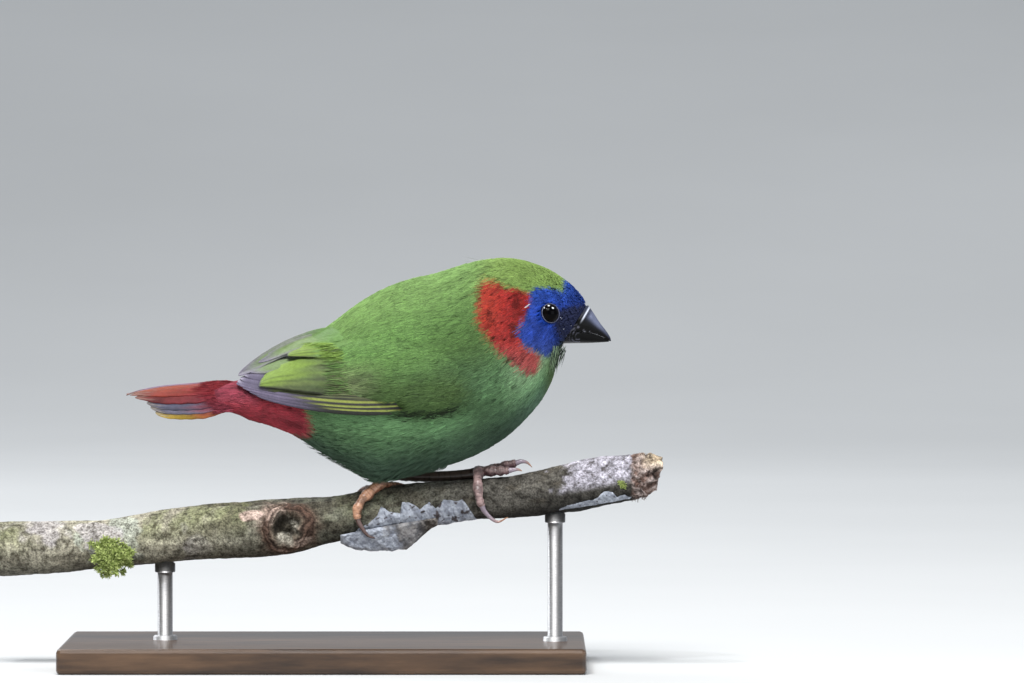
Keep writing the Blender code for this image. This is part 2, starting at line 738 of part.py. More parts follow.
def build_body():
    green = plain_material("green_feathers", (0.08, 0.22, 0.07), 0.8)
    red = plain_material("red_feathers", (0.35, 0.02, 0.02), 0.8)
    blue = plain_material("blue_feathers", (0.02, 0.06, 0.35), 0.8)
    olive = plain_material("olive_feathers", (0.14, 0.22, 0.04), 0.7)
    node("rump", body_mesh(0.0, RUMP_FRONT, 7), red)
    hollows = [thigh("right", GAP), thigh("left", GAP), leg("left", GAP)]
    torso = piece(body_mesh(RUMP_FRONT, TORSO_FRONT, 15))
    node("torso", combine(torso, hollows, "DIFFERENCE"), green)
    node("neck", body_mesh(TORSO_FRONT, NECK_FRONT, 4), green)
    node("head", build_head(), blue)
    node("tail", build_tail(), red)
    wing = build_wing(RIGHT)
    node("wing_left", mirrored(wing), olive)
    node("wing_right", wing, olive)
    for name in ("right", "left"):
        node(f"thigh_{name}", combine(thigh(name), [leg(name, GAP)], "DIFFERENCE"), green)


def build_face():
    horn = plain_material("bill_horn", (0.03, 0.03, 0.035), 0.3)
    wet = plain_material("eye", (0.01, 0.008, 0.008), 0.05)
    node("bill_upper", build_upper_bill(), horn)
    node("bill_lower", bill_half(LOWER_BILL, 8, False), horn)
    for name, side in (("right", RIGHT), ("left", LEFT)):
        ball = eye_ball(side, EYE_RADIUS)
        node(f"eye_{name}", evaluated_mesh(ball), wet)
        bpy.data.objects.remove(ball)


def build_legs():
    scutes = plain_material("leg_scutes", (0.3, 0.17, 0.12), 0.5)
    nail = plain_material("claw_horn", (0.4, 0.3, 0.34), 0.3)
    for name in ("right", "left"):
        shank = leg(name)
        node(f"leg_{name}", evaluated_mesh(shank), scutes)
        bpy.data.objects.remove(shank)
        foot, claws = foot_pieces(name)
        node(f"foot_{name}", foot, scutes)
        for toe, claw in claws.items():
            node(f"claw_{name}_{toe}", claw, nail)


def build_mount():
    bark = plain_material("bark", (0.2, 0.17, 0.1), 0.9)
    wood = plain_material("stand_wood", (0.06, 0.035, 0.02), 0.4)
    steel = plain_material("stand_steel", (0.6, 0.6, 0.6), 0.3, 1.0)
    node("perch", build_perch(), bark)
    base = node("stand_base", stand_base(), wood)
    edge = base.modifiers.new("edge", "BEVEL")
    edge.width = BASE_BEVEL
    edge.segments = 2
    for name, x in RODS.items():
        node(name, rod(x), steel)


clear_scene()
PARTS = new_collection("red_eared_parrotfinch")
HELPERS = new_collection("helpers")
build_body()
build_face()
build_legs()
build_mount()
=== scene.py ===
"""The looks of the red-eared parrotfinch on its branch: coat, flight feathers, bill, eyes, feet,
bark and stand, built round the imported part. +X is the way the bird faces and -Y its right side.
Shapes are in millimetres here and in metres in the scene, as are the stage and the materials.
"""
import math

import bmesh
import bpy
import numpy as np
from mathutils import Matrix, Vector


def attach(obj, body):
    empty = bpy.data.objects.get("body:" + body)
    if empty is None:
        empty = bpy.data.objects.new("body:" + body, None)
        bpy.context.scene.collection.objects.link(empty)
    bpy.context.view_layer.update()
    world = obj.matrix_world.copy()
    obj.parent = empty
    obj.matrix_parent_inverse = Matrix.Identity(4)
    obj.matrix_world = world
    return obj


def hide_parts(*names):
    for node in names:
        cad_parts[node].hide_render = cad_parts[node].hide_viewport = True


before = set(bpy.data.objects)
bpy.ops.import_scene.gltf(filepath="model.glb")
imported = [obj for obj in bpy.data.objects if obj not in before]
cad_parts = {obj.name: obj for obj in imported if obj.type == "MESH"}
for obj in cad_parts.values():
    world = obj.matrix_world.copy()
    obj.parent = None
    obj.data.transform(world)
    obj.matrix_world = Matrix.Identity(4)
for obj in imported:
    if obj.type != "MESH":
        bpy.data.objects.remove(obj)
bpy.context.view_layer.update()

MM = 0.001
RIGHT, LEFT = -1, 1
SIDES = (("right", RIGHT), ("left", LEFT))
RNG = np.random.default_rng(11)

# Body outline as in the CAD, with two more sections that carry the coverts over the tail's root:
# top (x, z), bottom (x, z) and half width, in millimetres.
BODY_SECTIONS = np.array([
    (-25.6, 56.1, -26.0, 51.5, 2.9),
    (-21.8, 56.5, -22.6, 50.6, 3.5),
    (-17.8, 56.9, -18.8, 50.5, 3.9),
    (-14.6, 58.2, -15.2, 49.0, 4.9),
    (-10.0, 60.8, -11.0, 47.8, 7.2),
    (-5.0, 64.2, -6.0, 45.8, 9.3),
    (1.0, 68.2, -0.6, 42.4, 11.6),
    (8.0, 73.3, 5.4, 39.4, 13.6),
    (15.0, 76.7, 12.6, 37.8, 14.9),
    (22.0, 78.4, 21.0, 39.0, 15.5),
    (27.4, 80.1, 29.0, 41.4, 15.3),
    (31.6, 81.1, 36.6, 45.8, 14.2),
    (35.4, 81.5, 42.2, 51.4, 11.8),
    (39.0, 81.2, 45.0, 55.8, 10.0),
    (42.4, 80.2, 46.2, 59.4, 8.9),
    (45.6, 78.8, 46.4, 61.9, 7.9),
    (48.4, 76.8, 46.9, 63.2, 6.6),
    (50.6, 74.5, 47.2, 63.8, 5.1),
    (52.3, 72.0, 47.6, 64.3, 3.7),
])
LAST_STATION = len(BODY_SECTIONS) - 1
LOW_FULLNESS = 0.1
COAT_DEPTH = 1.1

# The folded wing's shoulder and forearm, a low swelling under the coverts.
WING_MIDDLE = np.array((16.0, 57.2))
WING_LENGTH = 14.5
WING_DEPTH = 7.4
WING_TILT = math.radians(-13)
WING_SWELL = 1.9

# The thighs under the belly's feathers: a swelling on each side of the belly.
THIGH = np.array((10.6, 5.6, 40.0))
THIGH_SWELL = 2.3
THIGH_SPREAD = 4.2

EYE_X = 45.1
EYE_Z = 70.5
EYE_RADIUS = 2.05
EYE_SUNK = 0.98
EYE_CLEAR = 1.96

# Markings in the side view, (x, z).
BLUE_MASK = [
    (48.2, 77.6), (47.6, 74.4), (47.0, 74.8), (46.0, 75.2), (44.0, 75.4), (42.2, 75.6), (41.2, 74.6),
    (41.2, 73.0), (41.0, 71.8), (40.6, 71.0), (40.4, 70.2), (39.8, 68.6), (38.8, 67.4), (38.7, 66.4),
    (39.4, 65.0), (41.0, 63.6), (43.0, 62.8), (44.6, 62.1), (45.6, 62.6), (46.6, 63.8), (47.6, 64.8),
    (60.0, 64.0), (60.0, 82.0),
]
RED_EAR = [
    (31.8, 77.2), (33.4, 77.0), (35.6, 76.2), (37.0, 75.6), (39.0, 75.4), (40.2, 74.8), (41.4, 74.4),
    (41.4, 72.8), (41.0, 71.4), (40.0, 69.0), (38.6, 67.2), (38.8, 65.8), (40.0, 64.2), (42.6, 62.8),
    (43.4, 62.4), (43.2, 60.6), (42.2, 58.6), (41.0, 58.6), (39.0, 59.8), (37.0, 61.2), (35.0, 63.2),
    (33.4, 64.8), (32.2, 66.4), (30.8, 69.0), (30.8, 72.0), (31.0, 75.0),
]
RUMP_RED = [
    (-30.0, 49.0), (-22.0, 49.4), (-17.0, 49.0), (-13.0, 47.8), (-9.0, 46.6), (-5.0, 45.6), (-2.4, 45.6),
    (-2.0, 47.4), (-2.6, 50.2), (-6.0, 60.0), (-12.0, 61.5), (-16.0, 59.5), (-30.0, 60.0),
]
LORES = [
    (46.1, 71.0), (45.8, 69.0), (46.1, 67.4), (46.7, 66.0), (47.3, 64.8), (47.8, 63.4), (60.0, 63.4),
    (60.0, 72.0), (51.0, 72.2), (48.6, 71.6),
]

# Feather colours, linear. The belly's green is darkened by painted shade, the top of the back's green is
# lightened by painted light from above, and the breast's pale green is partly a painted rim light.
CROWN_GREEN = (0.205, 0.315, 0.075)
BACK_GREEN = (0.14, 0.275, 0.072)
BACK_TOP_LIT = (0.19, 0.33, 0.095)
FLANK_GREEN = (0.145, 0.30, 0.125)
BELLY_GREEN_SHADED = (0.055, 0.10, 0.065)
BREAST_GREEN_RIM_LIT = (0.32, 0.46, 0.27)
COVERT_OLIVE = (0.052, 0.092, 0.02)
COVERT_PALE = (0.20, 0.235, 0.11)
COVERT_STREAK = (0.055, 0.062, 0.035)
WING_EDGE_SHADOW = (0.008, 0.012, 0.006)
THROAT = (0.085, 0.125, 0.035)
EAR_RED = (0.345, 0.012, 0.009)
LOW_RED = (0.37, 0.068, 0.062)
NAPE_RED = (0.42, 0.044, 0.014)
FACE_BLUE = (0.009, 0.044, 0.31)
BROW_BLUE = (0.010, 0.062, 0.38)
THROAT_BLUE = (0.028, 0.062, 0.29)
LORE_BLACK = (0.023, 0.027, 0.060)
CHIN_GREY = (0.022, 0.030, 0.024)
COVERT_RED = (0.31, 0.026, 0.042)
COVERT_PINK = (0.27, 0.040, 0.066)

# Painted light and shade on the green, darker and paler stretches: middle (x, z), reach along and up, factor.
PAINTED_LIGHT_AND_SHADE = [
    (30.0, 60.5, 9.5, 11.0, 0.48),
    (34.0, 57.0, 3.5, 3.0, 1.1),
    (31.0, 52.0, 4.0, 2.6, 0.72),
    (42.5, 53.5, 3.6, 4.5, 1.7),
    (45.2, 58.5, 1.8, 4.0, 1.25),
    (23.5, 48.8, 4.2, 2.6, 1.5),
    (4.0, 47.5, 10.0, 2.6, 0.85),
    (35.0, 46.5, 5.0, 3.0, 0.72),
    (10.0, 41.5, 4.5, 2.6, 1.2),
    (-0.5, 49.0, 3.0, 3.0, 0.75),
    (15.8, 52.2, 1.7, 1.6, 0.25),
]


def curve_rows(rows, position):
    """Rows of a table at fractional indices, on a smooth curve. The last axis holds the columns."""
    position = np.asarray(position, float)
    last = len(rows) - 1
    padded = np.vstack([2 * rows[0] - rows[1], rows, 2 * rows[last] - rows[last - 1]])
    i = np.clip(np.floor(position).astype(int), 0, last - 1)
    t = (position - i)[..., None]
    p0, p1, p2, p3 = padded[i], padded[i + 1], padded[i + 2], padded[i + 3]
    slope = p2 - p0
    bend = 2 * p0 - 5 * p1 + 4 * p2 - p3
    twist = 3 * p1 - p0 - 3 * p2 + p3
    return (2 * p1 + slope * t + bend * t**2 + twist * t**3) / 2


def body_plain(station, turn):
    """Points of the body: station along it, turn from the back line, negative on the right side."""
    row = curve_rows(BODY_SECTIONS, np.clip(station, 0, LAST_STATION))
    up = np.cos(turn)
    x = (row[..., 0] + row[..., 2]) / 2 + (row[..., 0] - row[..., 2]) / 2 * up
    z = (row[..., 1] + row[..., 3]) / 2 + (row[..., 1] - row[..., 3]) / 2 * up
    y = row[..., 4] * np.sin(turn) * (1 - LOW_FULLNESS * up)
    return np.stack([x, y, z], axis=-1)


def unit(vectors):
    return vectors / np.maximum(np.linalg.norm(vectors, axis=-1, keepdims=True), 1e-12)


def body_axes(station, turn, step=0.02):
    """Outward normal, and the vectors along a unit of station and of turn, of the plain body."""
    ahead = (body_plain(station + step, turn) - body_plain(station - step, turn)) / (2 * step)
    round_ = (body_plain(station, turn + step) - body_plain(station, turn - step)) / (2 * step)
    return unit(np.cross(ahead, round_)), ahead, round_


def wing_reach(x, z):
    """How far out from the middle of the wing's swelling a point of the side view is: 1 at its rim."""
    long_way = np.array((math.cos(WING_TILT), math.sin(WING_TILT)))
    dx, dz = x - WING_MIDDLE[0], z - WING_MIDDLE[1]
    along = dx * long_way[0] + dz * long_way[1]
    across = -dx * long_way[1] + dz * long_way[0]
    length = np.where(along > 0, WING_LENGTH, WING_LENGTH * 1.17)
    return np.hypot(along / length, across / WING_DEPTH)


def body_surface(station, turn, lift):
    """Points over the body, with the wings' swelling, and the outward normal."""
    spot = body_plain(station, turn)
    normal = body_axes(station, turn)[0]
    rim = np.clip(1 - wing_reach(spot[..., 0], spot[..., 2]) ** 4, 0, 1)
    away = np.linalg.norm(np.abs(spot) - THIGH, axis=-1)
    swell = WING_SWELL * rim + THIGH_SWELL * np.exp(-(away / THIGH_SPREAD) ** 2)
    return spot + normal * (lift + swell)[..., None], normal


def inside(x, z, outline):
    """Whether points of the side view lie in an outline given in millimetres."""
    corners = np.array(outline)
    within = np.zeros(np.shape(x), bool)
    for (ax, az), (bx, bz) in zip(corners, np.roll(corners, -1, axis=0)):
        crosses = (az > z) != (bz > z)
        level = ax + (z - az) / (bz - az if bz != az else 1e-12) * (bx - ax)
        within ^= crosses & (x < level)
    return within


def soft_inside(x, z, outline, blur):
    """Share of the spots round each point that lie in an outline, so that its edge is soft."""
    total = np.zeros(np.shape(x))
    for along, up in ((0, 0), (1, 0.3), (-1, -0.3), (0.4, 1), (-0.4, -1), (0.7, -0.6), (-0.7, 0.6)):
        total += inside(x + along * blur, z + up * blur, outline)
    return total / 7


def wing_edge(x):
    """Height of the folded wing's lower edge in the side view."""
    return np.interp(x, (-16, -5, 2, 15, 22, 26, 28.5), (54.5, 51.2, 50.4, 50.4, 50.5, 51.2, 52.8))


def smooth(low, high, value):
    t = np.clip((value - low) / (high - low), 0, 1)
    return t * t * (3 - 2 * t)


def mix(first, second, amount):
    amount = np.asarray(amount)[..., None]
    return np.asarray(first) * (1 - amount) + np.asarray(second) * amount


def layer(colour, *coats):
    """Lays tones over a colour one after the other, each by its own amount."""
    for tone, amount in coats:
        colour = mix(colour, tone, amount)
    return colour


def shade(colour, factor):
    return colour * np.asarray(factor)[..., None]


def noise(spots, scale, seed=0):
    """Smooth noise from -1 to 1 over points, from a few turned sine waves of unlike length."""
    rng = np.random.default_rng(seed)
    total = np.zeros(spots.shape[:-1])
    for k in range(7):
        direction = unit(rng.normal(size=3))
        wave = (spots @ direction) / scale * (0.7 + 0.23 * k) + rng.uniform(0, 6.28)
        warp = np.sin((spots @ unit(rng.normal(size=3))) / scale * 0.9 + rng.uniform(0, 6.28))
        total += np.sin(wave + 1.3 * warp) / (1 + 0.25 * k)
    return np.clip(total / 2.6, -1, 1)


def fractal(spots, scale, octaves, seed):
    return sum(noise(spots, scale * 0.5**k, seed + k) * 0.55**k for k in range(octaves)) / 1.8


def green_coat(spots, x, z):
    """Green of the body, with painted shade below and painted light above, olive and streaked over the wing's
    coverts, and a painted shadow along the bend under the wing's edge.
    """
    back_line = np.interp(x, BODY_SECTIONS[:, 0], BODY_SECTIONS[:, 1])
    belly_line = np.interp(x, BODY_SECTIONS[:, 2], BODY_SECTIONS[:, 3])
    height = np.clip((z - belly_line) / np.maximum(back_line - belly_line, 1.0), 0, 1)
    # Painted shade darkens the belly, and painted light brightens the top of the back and the breast's front.
    colour = layer(mix(BELLY_GREEN_SHADED, FLANK_GREEN, smooth(0.02, 0.28, height)),
                   (BREAST_GREEN_RIM_LIT, smooth(34, 43, x) * smooth(0.1, 0.4, height)),
                   (BACK_GREEN, smooth(0.34, 0.62, height + 0.1 * smooth(10, -5, x))),
                   (BACK_TOP_LIT, smooth(0.68, 0.95, height)),
                   (CROWN_GREEN, smooth(28, 36, x) * smooth(72, 77, z)))
    # Painted light and shade, one soft patch after the other.
    for middle_x, middle_z, width, tall, factor in PAINTED_LIGHT_AND_SHADE:
        patch = np.exp(-((x - middle_x) / width) ** 2 - ((z - middle_z) / tall) ** 2)
        colour = shade(colour, 1 + (factor - 1) * patch)
    olive = smooth(1.15, 0.7, wing_reach(x, z)) * smooth(63, 55, z)
    covert = mix(COVERT_PALE, COVERT_OLIVE, smooth(5, 13, x - 0.5 * (z - 56)))
    streaks = smooth(-0.2, 0.7, noise(spots * (0.3, 1.0, 1.0) - z[..., None] * 0.25, 0.5, 37))
    streaks = streaks * smooth(13, 8, x) * smooth(61.5, 58, z)
    # Painted shadow under the wing's lower edge, along its bend.
    bend = smooth(1.0, 0.2, np.abs(z - wing_edge(x))) * smooth(12, 16, x) * smooth(29, 26, x)
    colour = layer(colour, (covert, 0.85 * olive), (COVERT_STREAK, 0.6 * streaks * olive),
                   (WING_EDGE_SHADOW, 0.95 * bend), (THROAT, 0.8 * smooth(43, 46, x) * smooth(63, 60, z)))
    return shade(colour, 1 + 0.10 * noise(spots, 0.9, 19))


def ear_colour(spots, x, z):
    """Red behind the face, paler below, with dark folds and painted shade in a crease behind the eye."""
    folds = fractal(spots * (1.2, 1.0, 0.8), 0.8, 3, 4) * 1.5
    # Painted shade along a crease behind the eye.
    crease_shade = np.exp(-((x - 38.2 - 0.25 * (z - 70)) / 0.8) ** 2) * smooth(64, 68, z)
    reds = mix(EAR_RED, LOW_RED, smooth(66, 60, z))
    reds = mix(reds, NAPE_RED, 0.5 * smooth(37, 33, x) * smooth(64, 70, z))
    return shade(shade(reds, 1 - 0.55 * smooth(0.05, 0.9, folds)), 1 - 0.35 * crease_shade)


def face_colour(spots, x, z):
    """Blue of the face: brighter over the eye, duller at the throat, dark by the bill."""
    blue = layer(FACE_BLUE, (BROW_BLUE, smooth(71, 75, z)), (THROAT_BLUE, 0.8 * smooth(66.5, 63.5, z)))
    blue = shade(blue, 1 + 0.5 * fractal(spots, 0.5, 3, 23))
    return shade(blue, 1 - 0.5 * smooth(47.2, 50.5, x) * smooth(70.5, 73, z))


def rump_colour(spots, x, z):
    """Crimson of the rump and the coverts over the tail, pinker at the top."""
    plumes = noise(spots * (0.45, 1.0, 1.3), 0.9, 29)
    crimson = mix(COVERT_RED, COVERT_PINK, smooth(50.5, 54.5, z) * smooth(-10, -15, x))
    return shade(crimson, 1 - 0.4 * smooth(0.2, 0.8, plumes) + 0.25 * smooth(-0.2, -0.8, plumes))


def coat_colour(spots, jitter):
    """Feather colour over the body, by place. Jitter, a length, frays the edges of the markings."""
    x = spots[..., 0] + jitter * RNG.normal(size=spots.shape[:-1])
    z = spots[..., 2] + jitter * RNG.normal(size=spots.shape[:-1])
    chin = smooth(2.4, 0.8, np.hypot(x - 47.2, (z - 61.4) / 2.2))
    return layer(
        green_coat(spots, x, z),
        (ear_colour(spots, x, z), soft_inside(x, z, RED_EAR, 0.3 + 0.35 * smooth(37, 33, x))),
        (face_colour(spots, x, z), soft_inside(x, z, BLUE_MASK, 0.25)),
        (LORE_BLACK, 0.94 * soft_inside(x, z, LORES, 0.45)),
        (CHIN_GREY, 0.85 * chin),
        (rump_colour(spots, x, z), soft_inside(x, z, RUMP_RED, 0.4)))


def coat_depth(station, turn):
    """How deep the skin lies under the body's surface: least at the base of the bill and round the eyes."""
    spot = body_plain(station, turn)
    from_eye = np.hypot(spot[..., 0] - EYE_X, spot[..., 2] - EYE_Z) + 9 * (np.abs(spot[..., 1]) < 3)
    depth = COAT_DEPTH - 0.93 * smooth(15.2, 17.6, station)
    return depth * (0.22 + 0.78 * smooth(2.0, 3.4, from_eye))


def new_mesh_object(name, points, faces, smooth_faces=True):
    """A mesh of points in millimetres."""
    mesh = bpy.data.meshes.new(name)
    mesh.from_pydata((np.asarray(points) * MM).tolist(), [], faces)
    mesh.update()
    if smooth_faces:
        mesh.shade_smooth()
    thing = bpy.data.objects.new(name, mesh)
    bpy.context.scene.collection.objects.link(thing)
    return thing


def paint(thing, colours, name="tint"):
    """Stores a colour for each point."""
    layer = thing.data.color_attributes.new(name, "FLOAT_COLOR", "POINT")
    values = np.ones((len(thing.data.vertices), 4), np.float32)
    values[:, :3] = colours
    layer.data.foreach_set("color", values.ravel())


def bake_map(thing, places):
    """The bake map: each point's place on the unwrapped skin."""
    layer = thing.data.uv_layers.new(name="OFBake")
    corners = np.empty(len(thing.data.loops), np.int32)
    thing.data.loops.foreach_get("vertex_index", corners)
    layer.data.foreach_set("uv", np.ascontiguousarray(places[corners], dtype=np.float32).ravel())


def skin_place(station, turn):
    """Where a point of the skin lies on its unwrap."""
    u = 0.02 + 0.96 * np.asarray(station) / LAST_STATION
    v = 0.02 + 0.96 * (np.asarray(turn) / (2 * math.pi) + 0.5)
    return np.stack([u, v], axis=-1)


def grid_faces(rows, columns, wrap=False):
    faces = []
    for i in range(rows - 1):
        for j in range(columns if wrap else columns - 1):
            k = (j + 1) % columns
            faces.append((i * columns + j, i * columns + k, (i + 1) * columns + k, (i + 1) * columns + j))
    return faces


def unit_grid(rows, columns):
    """Two shares from 0 to 1, along the rows and the columns of a grid."""
    return np.meshgrid(np.linspace(0, 1, rows), np.linspace(0, 1, columns), indexing="ij")


class Parts:
    """Closed forms gathered into one piece, with a colour for each point."""

    def __init__(self):
        self.points, self.faces, self.colours, self.webs, self.count = [], [], [], [], 0

    def add(self, points, faces, colours, webs=None):
        self.points.append(points)
        self.faces += [tuple(k + self.count for k in face) for face in faces]
        self.count += len(points)
        if colours is not None:
            self.colours.append(colours)
        if webs is not None:
            self.webs.append(webs)

    def add_shell(self, upper, lower, colours, webs=None):
        """A closed plate between two layers of points over a grid."""
        rows, columns = upper.shape[:2]
        under = rows * columns
        faces = grid_faces(rows, columns)
        faces = faces + [tuple(under + k for k in face[::-1]) for face in faces]
        rim = list(range(columns)) + [i * columns + columns - 1 for i in range(1, rows)]
        rim += [(rows - 1) * columns + j for j in range(columns - 2, -1, -1)]
        rim += [i * columns for i in range(rows - 2, 0, -1)]
        faces += [(a, under + a, under + b, b) for a, b in zip(rim, rim[1:] + rim[:1])]
        doubled = [None if part is None else np.tile(part.reshape(-1, 3), (2, 1)) for part in (colours, webs)]
        self.add(np.concatenate([upper.reshape(-1, 3), lower.reshape(-1, 3)]), faces, *doubled)

    def add_vane(self, sheet, thickness, colours, webs):
        """A thin closed plate with a grid of points as its middle."""
        normal = unit(np.cross(np.gradient(sheet, axis=0), np.gradient(sheet, axis=1)))
        half = normal * (thickness / 2)[..., None]
        self.add_shell(sheet + half, sheet - half, colours, webs)

    def add_tube(self, rings, colours=None, ends=None):
        """A tube through rings of equal count, closed by a fan at each end."""
        rows, columns = rings.shape[:2]
        points = np.concatenate([rings.reshape(-1, 3), rings[0].mean(0)[None], rings[-1].mean(0)[None]])
        faces = grid_faces(rows, columns, wrap=True)
        first = rows * columns
        for j in range(columns):
            k = (j + 1) % columns
            faces += [(first, k, j), (first + 1, first - columns + j, first - columns + k)]
        if colours is not None:
            ends = [colours[0, 0], colours[-1, 0]] if ends is None else [ends, ends]
            colours = np.concatenate([colours.reshape(-1, 3), ends])
        self.add(points, faces, colours)

    def build(self, name):
        points = np.concatenate(self.points)
        thing = new_mesh_object(name, points, self.faces)
        shape = bmesh.new()
        shape.from_mesh(thing.data)
        bmesh.ops.recalc_face_normals(shape, faces=shape.faces)
        shape.to_mesh(thing.data)
        shape.free()
        if self.colours:
            paint(thing, np.concatenate(self.colours))
        if self.webs:
            paint(thing, np.concatenate(self.webs), "web")
            middle = (points.max(0) + points.min(0)) / 2
            bake_map(thing, ((points - middle) / np.ptp(points, axis=0).max() + 0.5)[:, [0, 2]])
        return thing


def closed_tube(name, rings, colours=None, ends=None):
    parts = Parts()
    parts.add_tube(rings, colours, ends)
    return parts.build(name)


def keep(thing, slot, material, *nodes):
    """Gives a piece its material, puts it on the body and hides the imported parts that it stands for."""
    thing.data.materials.clear()
    thing.data.materials.append(material)
    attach(thing, "root")
    if nodes:
        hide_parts(*nodes)


class Shader:
    """A material's node tree, with short calls for the nodes used here."""

    def __init__(self, name, roughness, specular=0.5, coat=0.0, sheen=0.0):
        self.material = bpy.data.materials.new(name)
        self.material.use_nodes = True
        self.tree = self.material.node_tree
        self.base = self.tree.nodes["Principled BSDF"]
        self.base.inputs["Roughness"].default_value = roughness
        self.base.inputs["Specular IOR Level"].default_value = specular
        self.base.inputs["Coat Weight"].default_value = coat
        self.base.inputs["Coat Roughness"].default_value = 0.08
        self.base.inputs["Sheen Weight"].default_value = sheen

    def add(self, kind, settings=(), **values):
        made = self.tree.nodes.new(kind)
        for key, value in dict(settings).items():
            setattr(made, key, value)
        for key, value in values.items():
            self.feed(made.inputs[key.replace("_", " ")], value)
        return made

    def feed(self, socket, value):
        if isinstance(value, bpy.types.NodeSocket):
            self.tree.links.new(value, socket)
        else:
            socket.default_value = value

    def place(self):
        return self.add("ShaderNodeTexCoord").outputs["Object"]

    def noise(self, place, scale, detail=4.0, rough=0.55):
        made = self.add("ShaderNodeTexNoise", Vector=place, Scale=scale, Detail=detail, Roughness=rough)
        return made.outputs["Fac"]

    def ramp(self, value, stops):
        made = self.add("ShaderNodeValToRGB", Fac=value)
        ramp = made.color_ramp
        while len(ramp.elements) < len(stops):
            ramp.elements.new(0.5)
        for element, (spot, colour) in zip(ramp.elements, stops):
            element.position = spot
            element.color = (*colour, 1.0) if len(colour) == 3 else colour
        return made.outputs["Color"]

    def blend(self, first, second, amount, kind="MIX"):
        made = self.tree.nodes.new("ShaderNodeMix")
        made.data_type = "RGBA"
        made.blend_type = kind
        self.feed(made.inputs[0], amount)
        for socket, value in ((made.inputs[6], first), (made.inputs[7], second)):
            self.feed(socket, value if isinstance(value, bpy.types.NodeSocket) else (*value, 1.0))
        return made.outputs[2]

    def math(self, operation, first, second=0.0):
        made = self.add("ShaderNodeMath", {"operation": operation})
        self.feed(made.inputs[0], first)
        self.feed(made.inputs[1], second)
        return made.outputs[0]

    def tint(self, name="tint"):
        return self.add("ShaderNodeAttribute", {"attribute_name": name}).outputs["Color"]

    def bump(self, height, strength, distance):
        made = self.add("ShaderNodeBump", Height=height, Strength=strength, Distance=distance)
        self.feed(self.base.inputs["Normal"], made.outputs["Normal"])

    def colour(self, value):
        self.feed(self.base.inputs["Base Color"], value if isinstance(value, bpy.types.NodeSocket)
                  else (*value, 1.0))


def coat_material(name, roughness=0.62, sheen=0.06, specular=0.12):
    """Barbs take the colour painted on them, with a little unevenness from one to the next."""
    shader = Shader(name, roughness, specular=specular, sheen=sheen)
    flecks = shader.noise(shader.place(), 900.0, 2.0)
    darker = shader.blend(shader.tint(), (0.55, 0.58, 0.5), 0.35, "MULTIPLY")
    shader.colour(shader.blend(darker, shader.tint(), flecks))
    return shader.material


def painted(name, roughness, specular, scale, dark, share=1.0, bump=None, detail=4.0, coat=0.0):
    """The painted colour, darkened by a fine noise that may raise the surface too."""
    shader = Shader(name, roughness, specular, coat)
    grain = shader.noise(shader.place(), scale, detail)
    shader.colour(shader.blend(shader.tint(), dark, shader.math("MULTIPLY", grain, share), "MULTIPLY"))
    if bump:
        shader.bump(grain, *bump)
    return shader.material


def build_skin():
    """One skin under all the coat, marked like it and darkened by painted shade."""
    along, around = 150, 96
    turns = np.linspace(-math.pi, math.pi, around + 1)[:-1]
    station, turn = np.meshgrid(np.linspace(0.15, LAST_STATION, along), turns, indexing="ij")
    points = body_surface(station, turn, -coat_depth(station, turn))[0].reshape(-1, 3)
    ends = [tuple(range(around))[::-1], tuple(range((along - 1) * around, along * around))]
    skin = new_mesh_object("skin", points, grid_faces(along, around, wrap=True) + ends)
    # Painted shade under the feathers: the skin is 0.85 as bright as the coat over it.
    paint(skin, coat_colour(points, 0.0) * 0.85)
    bake_map(skin, skin_place(station, turn).reshape(-1, 2))
    material = painted("skin_down", 0.8, 0.1, 1400.0, (0.5, 0.5, 0.5), 0.5, (0.5, 0.0002))
    keep(skin, "body_green", material, "torso", "neck", "head", "rump", "thigh_right", "thigh_left")


def scatter(low, high, spacing):
    """Jittered roots over a stretch of the body, about one per square of spacing."""
    roots = []
    station = low
    turns = np.linspace(-math.pi, math.pi, 200)
    row_number = 0
    while station < high:
        ring = body_plain(np.full(200, station), turns)
        stretch = np.linalg.norm(body_axes(np.full(200, station), turns)[1], axis=-1)
        arc = np.concatenate([[0], np.cumsum(np.linalg.norm(np.diff(ring, axis=0), axis=1))])
        step = spacing / stretch.max()
        number = max(6, int(arc[-1] / spacing))
        shift = 0.5 * (row_number % 2) + RNG.uniform(-0.3, 0.3, number)
        spots = (np.arange(number) + shift) / number * arc[-1]
        turn = np.interp(spots % arc[-1], arc, turns)
        share = np.cumsum(np.interp(turn, turns, stretch) / stretch.max()) + RNG.uniform(0, 1)
        kept = np.diff(np.floor(share), prepend=0) > 0
        jitter = RNG.uniform(-0.4, 0.4, number) * step
        roots.append(np.stack([np.clip(station + jitter, low, high), turn], axis=-1)[kept])
        station += step
        row_number += 1
    return np.concatenate(roots)


def clear_of_eyes(spots):
    """Moves points that lie over an eye out to its rim, along the surface."""
    moved = spots.copy()
    for _, side in SIDES:
        middle, outward = eye_frame(side)
        offset = spots - middle
        flat = offset - outward * (offset @ outward)[:, None]
        away = np.linalg.norm(flat, axis=-1)
        near = (away < EYE_CLEAR) & (np.linalg.norm(offset, axis=-1) < 2 * EYE_CLEAR)
        moved[near] += (unit(flat) * (EYE_CLEAR - away)[:, None])[near]
    return moved


# A blade: rings of three points at its root and its middle, and a point at its tip.
BLADE_FACES = np.array([(0, 1, 2), (0, 3, 4), (0, 4, 1), (1, 4, 5), (1, 5, 2), (2, 5, 3), (2, 3, 0),
                        (3, 6, 4), (4, 6, 5), (5, 6, 3)])
BLADES_IN_PIECE = 19000
# How evenly a feather's barbs spread from its root on.
FAN = 0.55


